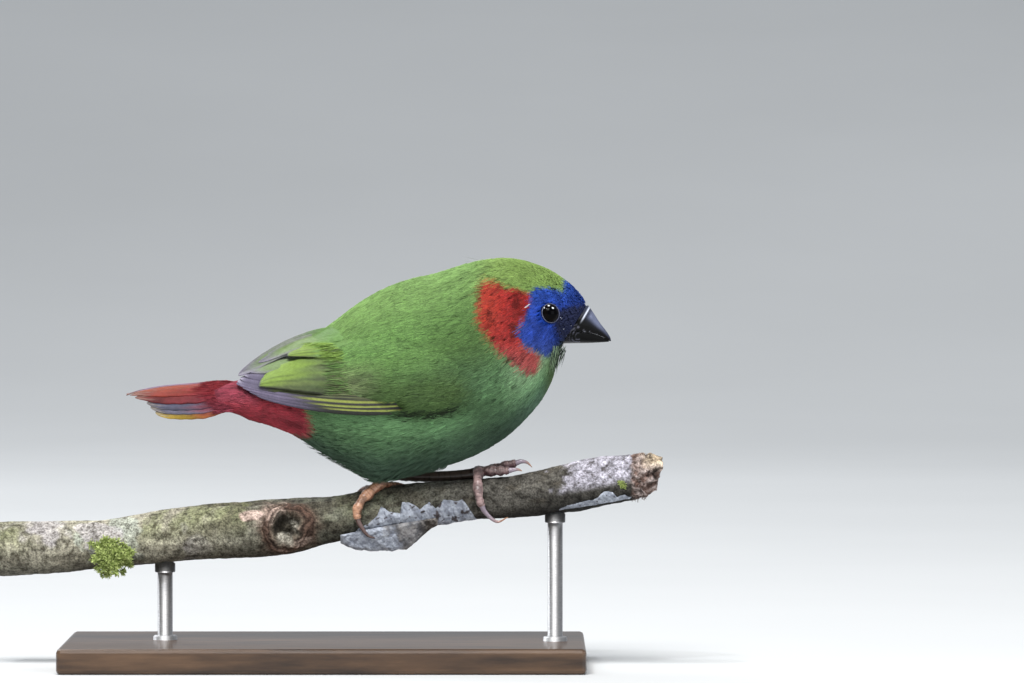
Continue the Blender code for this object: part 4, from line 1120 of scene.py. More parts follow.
def build_bill():
    """Upper and lower bill, with nostrils, folds at the gape, a painted sheen and highlight on the upper
    bill, a narrow rim with a painted highlight, and painted light on the folds' ridges.
    """
    material = painted("bill_horn", 0.3, 0.07, 500.0, (0.55, 0.56, 0.62), 0.5, (0.25, 0.00015), detail=5.0)
    for name, table, over in (("bill_upper", UPPER_BILL, True), ("bill_lower", LOWER_BILL, False)):
        rings, position, turn = bill_rings(table, over)
        outward = np.sign(rings[..., 1])
        rough = smooth(1.5, 0.6, position) * smooth(0.8, 0.5, np.sin(turn)) * np.abs(np.cos(turn))
        rings[..., 1] += outward * 0.16 * fractal(rings, 0.6, 3, 7) * rough
        away = np.hypot(rings[..., 0] - 50.7, rings[..., 2] - 65.9)
        folds = np.sin(away * 11.0 + 3.2 * fractal(rings, 0.7, 3, 11))
        folds = smooth(0.25, 0.85, folds - 0.5 * smooth(0.0, 0.6, fractal(rings, 0.5, 2, 13)))
        folds = folds * smooth(2.7, 2.0, away) * smooth(0.25, 0.6, away) * (rings[..., 0] < 50.9)
        rings[..., 1] += outward * 0.07 * folds
        if over:
            for _, side in SIDES:
                away = np.linalg.norm(rings - NOSTRIL * (1, side, 1), axis=-1)
                rings[..., 1] -= side * 0.5 * np.exp(-(away / 0.42) ** 2)
                rings[..., 1] += side * 0.12 * np.exp(-((away - 0.8) / 0.3) ** 2)
        up = np.sin(turn) + 0 * position
        # Painted light: a bluish sheen up the upper bill's side, a highlight along the culmen, a bright
        # highlight along the rim at its base, and light on the ridges of the folds.
        culmen_highlight = smooth(0.5, 0.82, up) * smooth(4.4, 1.6, position) * smooth(0.3, 0.9, position)
        rim = np.exp(-((position - 0.33 + 0.12 * up) / 0.075) ** 2)
        rim = rim * smooth(0.2, 0.55, up) * smooth(0.1, 0.6, up)
        edge_line = smooth(0.10, 0.03, up) * smooth(0.6, 1.6, position) * smooth(4.2, 3.0, position)
        grains = smooth(0.1, 0.5, noise(rings, 0.16, 15))
        colour = layer((0.006, 0.006, 0.006), ((0.034, 0.038, 0.058), smooth(0.35, 0.85, up) * over),
                       ((0.17, 0.19, 0.28), culmen_highlight * 0.85 * over), ((0.85, 0.89, 1.0), rim * over),
                       ((0.42, 0.42, 0.48), edge_line * grains * 0.8 * over),
                       ((0.14, 0.14, 0.18), folds * 0.85))
        keep(closed_tube(name, rings, colour, (0.02, 0.02, 0.02)), "bill_horn", material, name)


def eye_frame(side):
    """Middle of the eye's opening on the head, and the direction in which the eye looks."""
    step = 0.5
    ahead = side_point(EYE_X + step, EYE_Z, 0.0, side) - side_point(EYE_X - step, EYE_Z, 0.0, side)
    above = side_point(EYE_X, EYE_Z + step, 0.0, side) - side_point(EYE_X, EYE_Z - step, 0.0, side)
    outward = unit(np.cross(ahead, above))
    return side_point(EYE_X, EYE_Z, 0.0, side), outward * np.sign(outward[1] * side)


def beaded_ring(name, middle, axis, radius, thickness, beads):
    """A closed ring of small beads round an axis."""
    first = np.array(Vector(axis).orthogonal().normalized())
    second = np.cross(axis, first)
    count, sides = beads * 10, 14
    turn = np.linspace(0, 2 * math.pi, count, endpoint=False)[:, None]
    corner = np.linspace(0, 2 * math.pi, sides, endpoint=False)[None, :]
    thick = thickness * (0.78 + 0.22 * np.abs(np.sin(turn * beads / 2)))
    out = np.cos(turn)[..., None] * first + np.sin(turn)[..., None] * second
    wide = radius + thick * np.cos(corner)
    rings = middle + out * wide[..., None] + axis * (thick * np.sin(corner))[..., None]
    faces = [tuple(k % (count * sides) for k in face) for face in grid_faces(count + 1, sides, wrap=True)]
    return new_mesh_object(name, rings.reshape(-1, 3), faces)


# Bright spots painted on the eye: how far ahead and above its middle, and their radius.
GLINTS = [(-0.62, 1.30, 0.20), (0.05, 0.96, 0.20), (-1.30, 0.76, 0.12)]


def build_eyes():
    """A dark, wet eye with a just visible iris, painted glints as highlights, and its ring of pale lid."""
    material = painted("eye", 0.02, 0.045, 2500.0, (0.85, 0.83, 0.82))
    lid = Shader("lid_skin", 0.5, specular=0.4)
    grain = lid.noise(lid.place(), 2200.0)
    lid.colour(lid.ramp(grain, [(0.3, (0.03, 0.034, 0.06)), (0.7, (0.13, 0.14, 0.22))]))
    lid.bump(grain, 0.3, 0.0001)
    shape = bmesh.new()
    bmesh.ops.create_uvsphere(shape, u_segments=96, v_segments=72, radius=1.0)
    shape.verts.index_update()
    ball = np.array([vertex.co for vertex in shape.verts])
    faces = [[vertex.index for vertex in face.verts] for face in shape.faces]
    shape.free()
    for name, side in SIDES:
        spot, outward = eye_frame(side)
        ahead = np.array((1.0, 0.0, 0.0))
        up = unit(np.cross(outward, ahead))
        up = up * np.sign(up[2])
        facing = ball @ outward
        colour = layer(np.full(ball.shape, 0.002), ((0.0026, 0.0018, 0.0015), smooth(0.58, 0.66, facing)),
                       ((0.001, 0.001, 0.0014), smooth(0.80, 0.86, facing)))
        for along, above, wide in GLINTS:
            out = math.sqrt(EYE_RADIUS**2 - along**2 - above**2)
            spark = unit(outward * out + ahead * along + up * above)
            away = np.linalg.norm(ball - spark, axis=1) * EYE_RADIUS
            colour = mix(colour, (0.90, 0.94, 1.0), smooth(wide + 0.05, wide - 0.05, away))
        eye = new_mesh_object(f"eye_{name}", spot - outward * EYE_SUNK + ball * EYE_RADIUS, faces)
        paint(eye, colour)
        keep(eye, "eye", material, f"eye_{name}")
        keep(beaded_ring(f"lid_{name}", spot - outward * 0.05, outward, 1.90, 0.10, 31), "eye", lid.material)


# Centre line of the branch: x, y, z and radius, in millimetres.
PERCH_LINE = np.array([
    (-67.4, 3.0, 23.1, 5.7),
    (-55.0, 2.5, 23.4, 5.5),
    (-45.0, 2.0, 24.0, 5.2),
    (-35.0, 1.6, 25.2, 5.4),
    (-25.0, 1.2, 26.4, 5.5),
    (-15.0, 0.8, 27.2, 5.7),
    (-7.0, 0.4, 27.9, 5.8),
    (1.0, 0.0, 29.0, 5.1),
    (11.0, -0.5, 30.8, 4.8),
    (21.0, -0.9, 32.2, 4.4),
    (31.0, -1.5, 33.4, 4.2),
    (41.0, -2.4, 34.4, 4.7),
    (51.0, -3.5, 36.0, 5.0),
    (59.0, -4.8, 37.4, 4.6),
    (65.0, -5.9, 38.2, 4.3),
    (67.4, -6.4, 38.5, 3.2),
])
LEG_TOP = {"right": (12.2, -5.8, 39.6), "left": (11.8, 5.8, 38.9)}
HUB = {"right": (11.2, -3.4, 36.5), "left": (30.6, 0.6, 38.6)}
TOES = {
    "right": {
        "outer": [(9.2, 44, 1.2), (7.4, 62, 1.2), (6.6, 80, 1.15), (6.7, 94, 1.0),
                  (7.3, 110, 1.1), (8.9, 132, 1.7), (11.2, 141, 2.0)],
        "middle": [(13.0, 2, 1.2), (14.9, -22, 1.2), (16.4, -50, 1.15), (17.4, -72, 1.0),
                   (18.0, -88, 0.85), (18.9, -104, 1.0), (20.2, -114, 0.7)],
        "inner": [(11.6, 2, 1.3), (11.8, -30, 1.2), (12.2, -56, 1.1), (12.6, -78, 1.0),
                  (13.2, -92, 0.85), (14.2, -108, 1.0), (15.6, -116, 0.7)],
        "hind": [(9.6, 14, 1.2), (8.0, -14, 1.2), (6.8, -40, 1.15), (6.0, -62, 1.0),
                 (5.8, -78, 0.85), (6.2, -96, 1.0), (7.2, -110, 0.7)],
    },
    "left": {
        "outer": [(30.7, 8, 1.25), (30.6, 46, 1.2), (30.7, 78, 1.15), (31.4, 104, 1.0),
                  (32.2, 124, 0.9), (34.4, 146, 1.5), (36.6, 140, 0.9)],
        "middle": [(33.0, -14, 1.35), (35.0, -9, 1.5), (36.8, -6, 1.7), (38.2, -5, 1.85),
                   (39.2, -5, 2.0), (40.4, -5, 1.6), (41.4, -5, 0.5)],
        "inner": [(32.6, 12, 1.2), (34.2, 19, 1.15), (35.6, 20, 1.1), (36.8, 20, 1.0),
                  (37.6, 20, 1.0), (38.6, 20, 0.9), (39.4, 20, 0.45)],
        "hind": [(29.6, -44, 1.25), (28.6, -68, 1.2), (27.8, -90, 1.1), (27.4, -108, 1.0),
                 (27.6, -122, 0.85), (28.4, -138, 1.0), (29.8, -146, 0.7)],
    },
}


def perch_row(x):
    return curve_rows(PERCH_LINE, np.interp(x, PERCH_LINE[:, 0], np.arange(len(PERCH_LINE))))


def perch_point(x, turn, lift):
    """Points over the bark: x, a turn in degrees from the top to the bird's right, and a lift."""
    row = perch_row(x)
    turn = np.radians(turn)
    reach = row[..., 3] + lift
    y, z = row[..., 1] - reach * np.sin(turn), row[..., 2] + reach * np.cos(turn)
    return np.stack([x + 0 * reach, y, z], axis=-1)


def tube_rings(line, radii, sides, guide=(0.0, -0.35, 1.0)):
    """Rings round a line of points. The first corner of each ring points towards the guide."""
    ahead = unit(np.gradient(line, axis=0))
    side = unit(np.cross(ahead, np.broadcast_to(guide, ahead.shape)))
    top = np.cross(side, ahead)
    corner = np.linspace(0, 2 * math.pi, sides, endpoint=False)
    ring = top[:, None] * np.cos(corner)[None, :, None] + side[:, None] * np.sin(corner)[None, :, None]
    return line[:, None] + ring * radii[..., None]


def scute_radii(length, count, sides, base_radii, pitch, depth):
    """Radii of a scaled toe: overlapping scutes above, soft pads below."""
    s = np.linspace(0, length, count)[:, None]
    corner = np.linspace(0, 2 * math.pi, sides, endpoint=False)[None, :]
    above = smooth(-0.2, 0.5, np.cos(corner))
    saw = (s / pitch + 0.22 * np.sin(s / (0.9)) + 0.12 * np.sin(corner * 2 + s / (0.5))) % 1.0
    scute = depth * (smooth(0.0, 0.25, saw) - 0.55 * saw) * above
    pads = 0.10 * np.abs(np.sin(math.pi * s / (2.1))) * smooth(0.1, -0.6, np.cos(corner))
    grain = 0.03 * np.sin(s / (0.16) + 5 * corner) * (1 - above)
    return base_radii[:, None] + scute + pads + grain, saw * np.ones_like(above), above * np.ones_like(s)


FOOT_TONES = {
    "right": ((0.42, 0.23, 0.14), (0.15, 0.055, 0.03)),
    "left": ((0.30, 0.21, 0.20), (0.11, 0.055, 0.06)),
}
# Colours of the tarsi; the left one is darkened by painted shade, as it lies in the shadow of the belly.
LEG_TONES = {"right": (0.12, 0.07, 0.05), "left": (0.045, 0.032, 0.025)}
LEG_SAG = {"right": 0.0, "left": 1.2}
# Colour of a claw's root and tip, and where the change starts.
CLAW_TONES = {
    "right": ((0.16, 0.10, 0.09), (0.06, 0.035, 0.03), 0.3),
    "left": ((0.36, 0.30, 0.36), (0.42, 0.22, 0.12), 0.4),
}


def toe_lines(which, path):
    """Centre lines of a toe and of its claw."""
    spots = np.array([HUB[which]] + [perch_point(x, turn, lift) for x, turn, lift in path])
    last = len(spots) - 1
    toe = curve_rows(spots, np.linspace(0, last - 3, 90))
    return toe, curve_rows(spots, np.linspace(last - 3.08, last, 60))


def add_toe(parts, which, line, hidden):
    """A scaled toe along its centre line, wrinkled, and plainer where the bark hides it; painted shade
    darkens the wrinkles' hollows and the hidden toes.
    """
    pale, dark = FOOT_TONES[which]
    t = np.linspace(0, 1, 90)
    base = (0.56 if hidden else 1.02 - 0.26 * t) * (1 + 0.12 * np.cos(6 * math.pi * t))
    base = base * (0.72 + 0.28 * smooth(1.0, 0.9, t))
    length = np.linalg.norm(np.diff(line, axis=0), axis=1).sum()
    radii, saw, above = scute_radii(length, 90, 28, base, 0.72, 0.15)
    outward = (line - perch_row(line[:, 0])[:, :3]) * (0, 1, 1)
    rings = tube_rings(line, radii, 28, unit(outward))
    gap = np.exp(-(saw / 0.12) ** 2) * above
    wrinkles = fractal(rings, 0.45, 4, 12)
    rings = rings + unit(rings - line[:, None]) * (0.15 * wrinkles)[..., None]
    colour = mix(mix(dark, pale, above * 0.9 + 0.1), dark, gap * 0.8)
    # Painted shade: darker in the hollows of the wrinkles, lighter on their ridges, darker where the bark
    # hides the toe.
    parts.add_tube(rings, shade(colour, 0.6 + 0.85 * smooth(-0.5, 0.5, wrinkles) - 0.3 * hidden))


def add_leg(parts, which, top, hub):
    """The tarsus. The left one sags, to stay behind the belly's edge."""
    line = top + (hub - top) * np.linspace(-0.15, 0.97, 110)[:, None]
    length = np.linalg.norm(line[-1] - line[0])
    line[:, 2] -= LEG_SAG[which] * np.sin(math.pi * np.linspace(0, 0.98, 110)) ** 0.5
    shank = 1.15 * (1 - 0.10 * np.sin(math.pi * np.linspace(0, 1, 110)))
    radii, saw, above = scute_radii(length, 110, 32, shank, 1.3, 0.07)
    tone = np.array(LEG_TONES[which])
    gap = np.exp(-(saw / 0.08) ** 2) * above
    rings = tube_rings(line, radii, 32, (0.6, -1.0, 0.6))
    parts.add_tube(rings, layer(tone, (tone * 1.7, above), (tone * 0.4, gap)))


def build_feet():
    skin = painted("leg_scutes", 0.3, 0.5, 1500.0, (0.45, 0.40, 0.40), 0.55, (0.35, 0.0001))
    horn = painted("claw_horn", 0.25, 0.5, 900.0, (0.6, 0.5, 0.45), 0.5, coat=0.3)
    for which, toes in TOES.items():
        foot, leg = Parts(), Parts()
        for toe, path in toes.items():
            hidden = which == "right" and toe != "outer"
            path = [(x, turn, lift * 0.1) for x, turn, lift in path] if hidden else path
            line, claw_line = toe_lines(which, path)
            add_toe(foot, which, line, hidden)
            c = np.linspace(0, 1, 60)
            claw_radii = np.repeat((0.56 - 0.50 * c**1.4)[:, None], 24, 1)
            root, tip, start = CLAW_TONES[which]
            tone = np.repeat(mix(root, tip, smooth(start, 1.0, c))[:, None], 24, 1)
            rings = tube_rings(claw_line, claw_radii, 24, (0.1, -1.0, 0.3))
            thing = closed_tube(f"claw_{which}_{toe}", rings, tone)
            keep(thing, "claw_horn", horn, f"claw_{which}_{toe}")
        top, hub = np.array(LEG_TOP[which]), np.array(HUB[which])
        knob = np.linspace(-1, 1, 24)
        ball = hub + np.outer(knob * 1.2, unit(hub - top))
        swell = np.sqrt(np.maximum(1 - knob**2, 0.02)) * 1.25
        rings = tube_rings(ball, np.repeat(swell[:, None], 28, 1), 28)
        foot.add_tube(rings, np.full((24, 28, 3), FOOT_TONES[which][0]) * 0.6)
        add_leg(leg, which, top, hub)
        keep(foot.build(f"foot_{which}"), "leg_scutes", skin, f"foot_{which}")
        keep(leg.build(f"leg_{which}"), "leg_scutes", skin, f"leg_{which}")


KNOT = np.array((-7.6, 27.9))
BARK_TONES = [(0.325, 0.305, 0.237), (0.13, 0.13, 0.10), (0.105, 0.098, 0.085)]


def bark_colour(spots, height, x, turn):
    """Grey green bark, browner to the right, with algae above and lichen crusts, and painted shade in its
    furrows and on its underside.
    """
    tone = mix(mix(BARK_TONES[0], BARK_TONES[1], smooth(-34, -3, x)), BARK_TONES[2], smooth(5, 35, x))
    # Painted shade in the furrows and cracks, and painted light on the ridges between them.
    tone = shade(tone, 0.62 + 0.75 * np.clip(0.5 + height, 0, 1))
    above = np.cos(np.radians(turn - 15))
    patches = fractal(spots, 5, 4, 41) + 0.5 * fractal(spots, 1.1, 4, 43)
    algae = smooth(-0.3, 0.6, patches) * smooth(-0.3, 0.9, above) * smooth(26, -12, x)
    pale = smooth(0.12, 0.3, fractal(spots, 4.0, 4, 61)) * smooth(-25, -40, x)
    lilac = smooth(0.05, 0.35, fractal(spots, 3.2, 4, 63)) * smooth(-18, -34, x)
    stain = smooth(0.05, 0.45, fractal(spots * (0.6, 1.0, 1.0), 1.6, 5, 57))
    specks = smooth(0.45, 0.7, fractal(spots, 0.7, 2, 83))
    tone = layer(tone, ((0.145, 0.165, 0.062), algae * 0.65), ((0.42, 0.46, 0.40), pale * 0.6),
                 ((0.44, 0.41, 0.45), lilac * 0.5), ((0.06, 0.05, 0.035), stain * 0.55),
                 ((0.05, 0.045, 0.035), specks * 0.6))
    crusts = 0.52 * fractal(spots, 0.8, 5, 73) + 0.95 * smooth(44, 54, x) - 0.24
    crusts = smooth(-0.1, 0.3, crusts) * smooth(38, 46, x)
    flecks = smooth(-0.5, 0.5, fractal(spots, 0.35, 3, 79))
    # Painted shade on the lower side from x 34 on.
    tone = shade(tone, 1 - 0.45 * smooth(34, 46, x) * smooth(0.5, -0.1, above))
    crust_tone = mix((0.27, 0.26, 0.30), (0.50, 0.48, 0.56), flecks)
    tone = mix(tone, crust_tone, crusts * smooth(-0.05, 0.4, above) * 0.9)
    # Painted shade, darkest on the underside.
    return mix(tone, tone * 0.32, smooth(0.0, -0.9, above))


def bark_relief(x, turn):
    """Lift of the bark over the plain branch, with what its colours depend on."""
    plain = perch_point(x, turn, 0.0)
    stretched = plain * (0.28, 1.0, 1.0)
    furrow = fractal(stretched, 1.7, 4, 5)
    lumps = fractal(plain, 9, 3, 9)
    cracks = -smooth(0.55, 0.9, np.abs(fractal(stretched, 3.0, 3, 21)))
    near_side = plain[..., 1] < perch_row(x)[..., 1]
    rough = fractal(plain, 1.3, 4, 91)
    spoke = np.arctan2(plain[..., 2] - KNOT[1], x - KNOT[0])
    round_knot = np.stack([np.cos(spoke), np.sin(spoke), 0.6 * rough], axis=-1)
    away = np.hypot(x - KNOT[0], plain[..., 2] - KNOT[1])
    away = away * (1 + 0.34 * fractal(plain, 2.2, 3, 95)) + 0.9 * fractal(round_knot, 0.45, 3, 97)
    layers = 0.30 * np.sin(away * 5.2 + 1.5 * rough) * smooth(6.5, 3.5, away) * smooth(1.2, 2.4, away)
    knot = (1.2 + 0.7 * rough) * np.exp(-(away - 3.2) ** 2) + layers
    knot = knot - (1.5 - 0.9 * rough) * np.exp(-((away - 1.5) / 0.8) ** 2)
    knot = knot + rough * np.exp(-(away / 1.1) ** 2)
    wavy = x + 1.9 * fractal(plain, 2.2, 4, 29) + 1.1 * noise(plain, 4.5, 31)
    torn = smooth(60.6, 61.3, wavy)
    fibres = fractal(plain * (0.6, 1.0, 1.0), 0.5, 4, 33)
    pits = smooth(0.10, 0.45, fractal(plain, 0.62, 4, 37))
    crown = smooth(60.4, 62.8, wavy) * smooth(67.4, 65.5, x)
    grit = fractal(plain, 0.55, 3, 45)
    lift = 0.32 * furrow + 0.5 * lumps + 0.6 * cracks + 0.10 * grit - 0.2 + np.where(near_side, knot, 0.0)
    lift = lift * (1 - torn) + torn * (0.2 * crown + 0.42 * fibres - 0.5 * pits)
    return lift, {"height": 0.5 * furrow + 0.6 * cracks + 0.25 * grit, "rough": rough, "torn": torn,
                  "away": np.where(near_side, away, 99.0), "near_side": near_side, "fibres": fibres,
                  "pits": pits, "layers": layers}


def knot_colour(colour, spots, tones):
    """The ring of peeled bark round the knot, painted shade between its layers, its dark heart, and a bare
    patch left of it.
    """
    x, z, away, rough = spots[..., 0], spots[..., 2], tones["away"], tones["rough"]
    peeled = smooth(0.0, 0.3, rough + 0.6 * (z > KNOT[1]) * (x < KNOT[0]) - 0.2)
    ring = np.exp(-((away - 4.0) / 1.7) ** 2) * 0.9
    bare = np.exp(-((x + 14.6) / 2.9) ** 2 - ((z - 30.1 - 0.12 * (x + 14.6)) / 1.15) ** 2)
    bare = smooth(0.35, 0.6, bare + 0.22 * rough) * tones["near_side"] * 0.9
    return layer(colour, (mix((0.10, 0.055, 0.04), (0.42, 0.31, 0.26), peeled), ring),
                 # Painted shade in the hollows between the knot's layers.
                 ((0.03, 0.018, 0.013), smooth(-0.05, -0.25, tones["layers"]) * ring),
                 (mix((0.24, 0.16, 0.13), (0.50, 0.38, 0.33), smooth(-0.4, 0.3, rough)), bare),
                 (mix((0.03, 0.025, 0.018), (0.34, 0.32, 0.27), smooth(0.0, 0.4, rough)),
                  smooth(2.7, 2.1, away) * 0.95))


def build_perch():
    """The branch: furrowed bark, a knot, a broken end and a cut end."""
    start, end = PERCH_LINE[0, 0], PERCH_LINE[-1, 0]
    turns = np.linspace(0, 360, 168, endpoint=False)
    x, turn = np.meshgrid(np.linspace(start, end, 520), turns, indexing="ij")
    plain = perch_point(x, turn, 0.0)
    lift, tones = bark_relief(x, turn)
    points = perch_point(x + tones["torn"] * tones["fibres"] * 0.5, turn, lift)
    ragged = 0.3 + 0.9 * smooth(40.0, 35.5, plain[..., 2]) + 0.25 * noise(plain, 0.7, 35)
    points[..., 0] = np.clip(points[..., 0] - smooth(62.5, end, x) * ragged, start, end)
    colour = knot_colour(bark_colour(plain, tones["height"], x, turn), plain, tones)
    cream = smooth(0.3, 0.8, np.cos(np.radians(turn - 10))) * smooth(62, 65, x)
    # The torn wood, with painted shade in its sunken pits.
    wood = layer((0.13, 0.08, 0.065), ((0.40, 0.33, 0.31), smooth(-0.4, 0.4, tones["fibres"])),
                 ((0.52, 0.42, 0.29), cream * 0.7), ((0.035, 0.022, 0.018), tones["pits"] * 0.8))
    # Painted shadow along the step where the torn wood meets the bark.
    torn_edge_shadow = tones["torn"] * (1 - tones["torn"]) * 4
    colour = layer(colour, (wood, tones["torn"]), ((0.05, 0.04, 0.035), torn_edge_shadow * 0.35))
    thing = closed_tube("perch", points, np.clip(colour, 0, 1), (0.27, 0.27, 0.27))
    shader = Shader("bark", 0.85, specular=0.25)
    place = shader.place()
    specks = shader.noise(place, 700.0, 6.0, 0.65)
    grain = shader.noise(place, 2600.0, 4.0)
    bright = (1.5, 1.5, 1.48)
    tone = shader.ramp(specks, [(0.36, (0.22, 0.20, 0.17)), (0.47, (0.85, 0.85, 0.84)), (0.64, bright)])
    fine = shader.ramp(grain, [(0.36, (0.34, 0.32, 0.30)), (0.50, (1.0, 1.0, 1.0)), (0.66, bright)])
    shader.colour(shader.blend(shader.tint(), shader.blend(tone, fine, 0.85, "MULTIPLY"), 0.9, "MULTIPLY"))
    shader.bump(shader.math("ADD", specks, shader.math("MULTIPLY", grain, 0.5)), 0.8, 0.0005)
    keep(thing, "bark", shader.material, "perch")


def lichen_tone(spots, bumps, seed):
    """Pale blue grey with fine darker flecks."""
    flecks = 0.3 * bumps + 0.9 * fractal(spots, 0.24, 3, seed)
    return mix((0.215, 0.232, 0.275), (0.41, 0.44, 0.50), smooth(-0.5, 0.5, flecks))


def ragged_edge(edge, u, rough, scale, seed):
    """Places along an edge given as (x, z), and its height there, made uneven."""
    xs, zs = (np.array(part) for part in zip(*edge))
    x = xs[0] + (xs[-1] - xs[0]) * u
    line = np.stack([x, 0 * x, 0 * x], axis=-1)
    return x, np.interp(x, xs, zs) + rough * fractal(line, scale, 4, seed)


# Dark cups in the lichen sheet: x, z and radius in the side view.
LICHEN_CUPS = [(22.6, 30.4, 0.42), (25.9, 29.9, 0.48), (22.8, 32.2, 0.42), (27.6, 31.0, 0.22)]


def crust(name, top, low_turn, height, material, seed):
    """A sheet of lichen on the near, lower side of the branch, from a ragged upper edge (x, z) down."""
    u, v = unit_grid(int(9 * (top[-1][0] - top[0][0])), 48)
    x, edge = ragged_edge(top, u, 0.45, 0.8, seed)
    row = perch_row(x)
    high = np.degrees(np.arccos(np.clip((edge - row[..., 2]) / (row[..., 3] + 0.3), -1, 1)))
    taper = np.clip(np.minimum(u * 9, (1 - u) * 9), 0.03, 1) ** 0.6
    turn = low_turn + (np.minimum(high, low_turn - 2) - low_turn) * (1 - v) * taper
    spots = perch_point(x, turn, 0.0)
    bark = bark_relief(x, turn)[0]
    bumps = fractal(spots, 0.8, 5, seed)
    rim = np.clip(np.minimum(np.minimum(v, 1 - v) * 12, np.minimum(u, 1 - u) * 25), 0, 1)
    cups = smooth(0.64, 0.74, noise(spots, 0.22, seed + 3))
    for middle_x, middle_z, wide in LICHEN_CUPS:
        away = np.hypot(spots[..., 0] - middle_x, spots[..., 2] - middle_z) / wide
        cups = np.maximum(cups, smooth(1.25, 0.75, away + 1.5 * fractal(spots, 0.4, 3, 88)))
    upper = perch_point(x, turn, bark + 0.12 + height * (0.55 + 0.7 * bumps) * rim)
    lower = perch_point(x, turn, bark - 0.6)
    parts = Parts()
    parts.add_shell(upper, lower, mix(lichen_tone(spots, bumps, seed + 5), (0.045, 0.032, 0.03), cups * 0.9))
    keep(parts.build(name), "bark", material)


# Upper edges of the lichen sheets and lower edge of the loose flake, x and z in the side view.
SHEET_EDGE = [(3.8, 24.6), (5.5, 26.2), (8.8, 28.2), (10.5, 29.9), (11.3, 32.0), (13.0, 31.2), (15.1, 30.7),
              (15.5, 33.0), (17.6, 32.4), (19.0, 31.2), (20.9, 33.0), (22.2, 31.6), (23.8, 33.5),
              (26.3, 32.8), (28.0, 33.5), (29.7, 33.0), (30.4, 29.9)]
STREAK_EDGE = [(46.8, 31.2), (49.0, 32.0), (51.0, 32.5), (53.0, 33.0), (54.5, 33.7), (55.6, 34.7),
               (57.4, 34.8), (58.3, 33.8), (60.0, 34.0), (61.2, 33.7)]
FLAKE_EDGE = [(3.2, 24.6), (4.4, 23.9), (6.8, 23.3), (10.9, 22.9), (13.4, 22.8), (16.3, 23.3), (18.8, 25.3),
              (21.3, 27.4), (22.6, 28.2)]


def build_lichen():
    shader = Shader("lichen", 0.9, specular=0.2)
    grain = shader.noise(shader.place(), 1300.0, 5.0, 0.65)
    tone = shader.ramp(grain, [(0.34, (0.58, 0.58, 0.58)), (0.6, (1.2, 1.2, 1.2))])
    shader.colour(shader.blend(shader.tint(), tone, 0.75, "MULTIPLY"))
    shader.bump(grain, 0.6, 0.0003)
    crust("lichen_sheet", SHEET_EDGE, 164, 0.42, shader.material, 3)
    crust("lichen_streak", STREAK_EDGE, 150, 0.3, shader.material, 9)
    lichen_flake(shader.material)


def lichen_flake(material):
    """The loose flake that hangs off the branch's underside, stained brown to the right."""
    u, v = unit_grid(170, 44)
    x, bottom = ragged_edge(FLAKE_EDGE, u, 0.35, 0.9, 51)
    branch = perch_row(x)
    top = branch[..., 2] - branch[..., 3] * 0.62
    z = top + (np.minimum(bottom, top - 0.3) - top) * v
    spots = np.stack([x, branch[..., 1] - 0.79 * branch[..., 3] - 0.7 + 1.6 * v**1.3, z], axis=-1)
    bumps = fractal(spots, 0.8, 5, 67)
    rim = np.clip(np.minimum(np.minimum(v, 1 - v), np.minimum(u, 1 - u) * 3) * 8, 0, 1)
    ahead = np.array((0.0, -1.0, 0.0))
    near = spots + ahead * (0.5 * rim + 0.45 * bumps * rim + 0.12)[..., None]
    far = spots - ahead * (0.5 * rim + 0.12)[..., None]
    flecks = 0.6 * bumps + 0.7 * fractal(spots, 0.3, 3, 71)
    brown = mix((0.05, 0.042, 0.035), (0.24, 0.22, 0.20), smooth(-0.3, 0.5, flecks))
    stained = smooth(12.8, 15.0, x + 2.6 * bumps - 3.5 * (v - 0.5)) * (0.75 + 0.25 * smooth(18, 21, x))
    parts = Parts()
    parts.add_shell(near, far, mix(lichen_tone(spots, bumps, 71), brown, stained))
    keep(parts.build("lichen_flake"), "bark", material)


def moss_cushion(name, centre, radii, clumps, leaf, material):
    """Moss: many small clumps of short pointed leaves, each leaf a closed blade."""
    heart = unit(RNG.normal(size=(clumps, 3))) * RNG.uniform(0.2, 1.0, (clumps, 1)) ** 0.6
    heart = np.array(centre) + heart * radii * (1 + 0.15 * RNG.normal(size=(clumps, 1)))
    size = RNG.uniform(0.5, 1.0, clumps) * leaf
    which = np.repeat(np.arange(clumps), 50)
    number = len(which)
    direction = unit(RNG.normal(size=(number, 3)))
    roots = heart[which] + direction * size[which][:, None] * RNG.uniform(0.1, 0.8, (number, 1))
    lean = unit(direction + RNG.normal(0, 0.3, (number, 3)))
    tips = roots + lean * RNG.uniform(0.35, 0.75, (number, 1)) * leaf
    depth = np.clip(np.linalg.norm(roots - heart[which], axis=1) / size[which], 0, 1)
    # Painted shade: leaves darker towards the heart of their clump.
    tone = mix((0.20, 0.27, 0.06), (0.78, 0.88, 0.36), depth * RNG.uniform(0.5, 1, number))
    strands(name, roots, tips, 0.26 * leaf, tone, "bark", material)


def build_fibres():
    """Torn fibres of wood that stand out of the broken end."""
    count = 230
    x = RNG.uniform(61.2, 64.4, count)
    turn = RNG.uniform(0, 360, count)
    roots = perch_point(x, turn, RNG.uniform(-0.5, 0.1, count))
    lean = RNG.uniform(-1.0, 1.0, (count, 3)) + (0.2, -0.1, -0.25)
    outward = unit(roots - perch_row(x)[:, :3])
    tips = roots + unit(lean + 0.35 * outward) * RNG.uniform(0.5, 1.1, (count, 1))
    tips[:, 0] = np.minimum(tips[:, 0], 67.2)
    tone = mix((0.10, 0.065, 0.055), (0.50, 0.42, 0.40), RNG.uniform(0, 1, count) ** 1.3)
    material = painted("wood_fibre", 0.8, 0.2, 1500.0, (0.6, 0.56, 0.52))
    strands("bark_fibres", roots, tips, 0.15, tone, "bark", material)


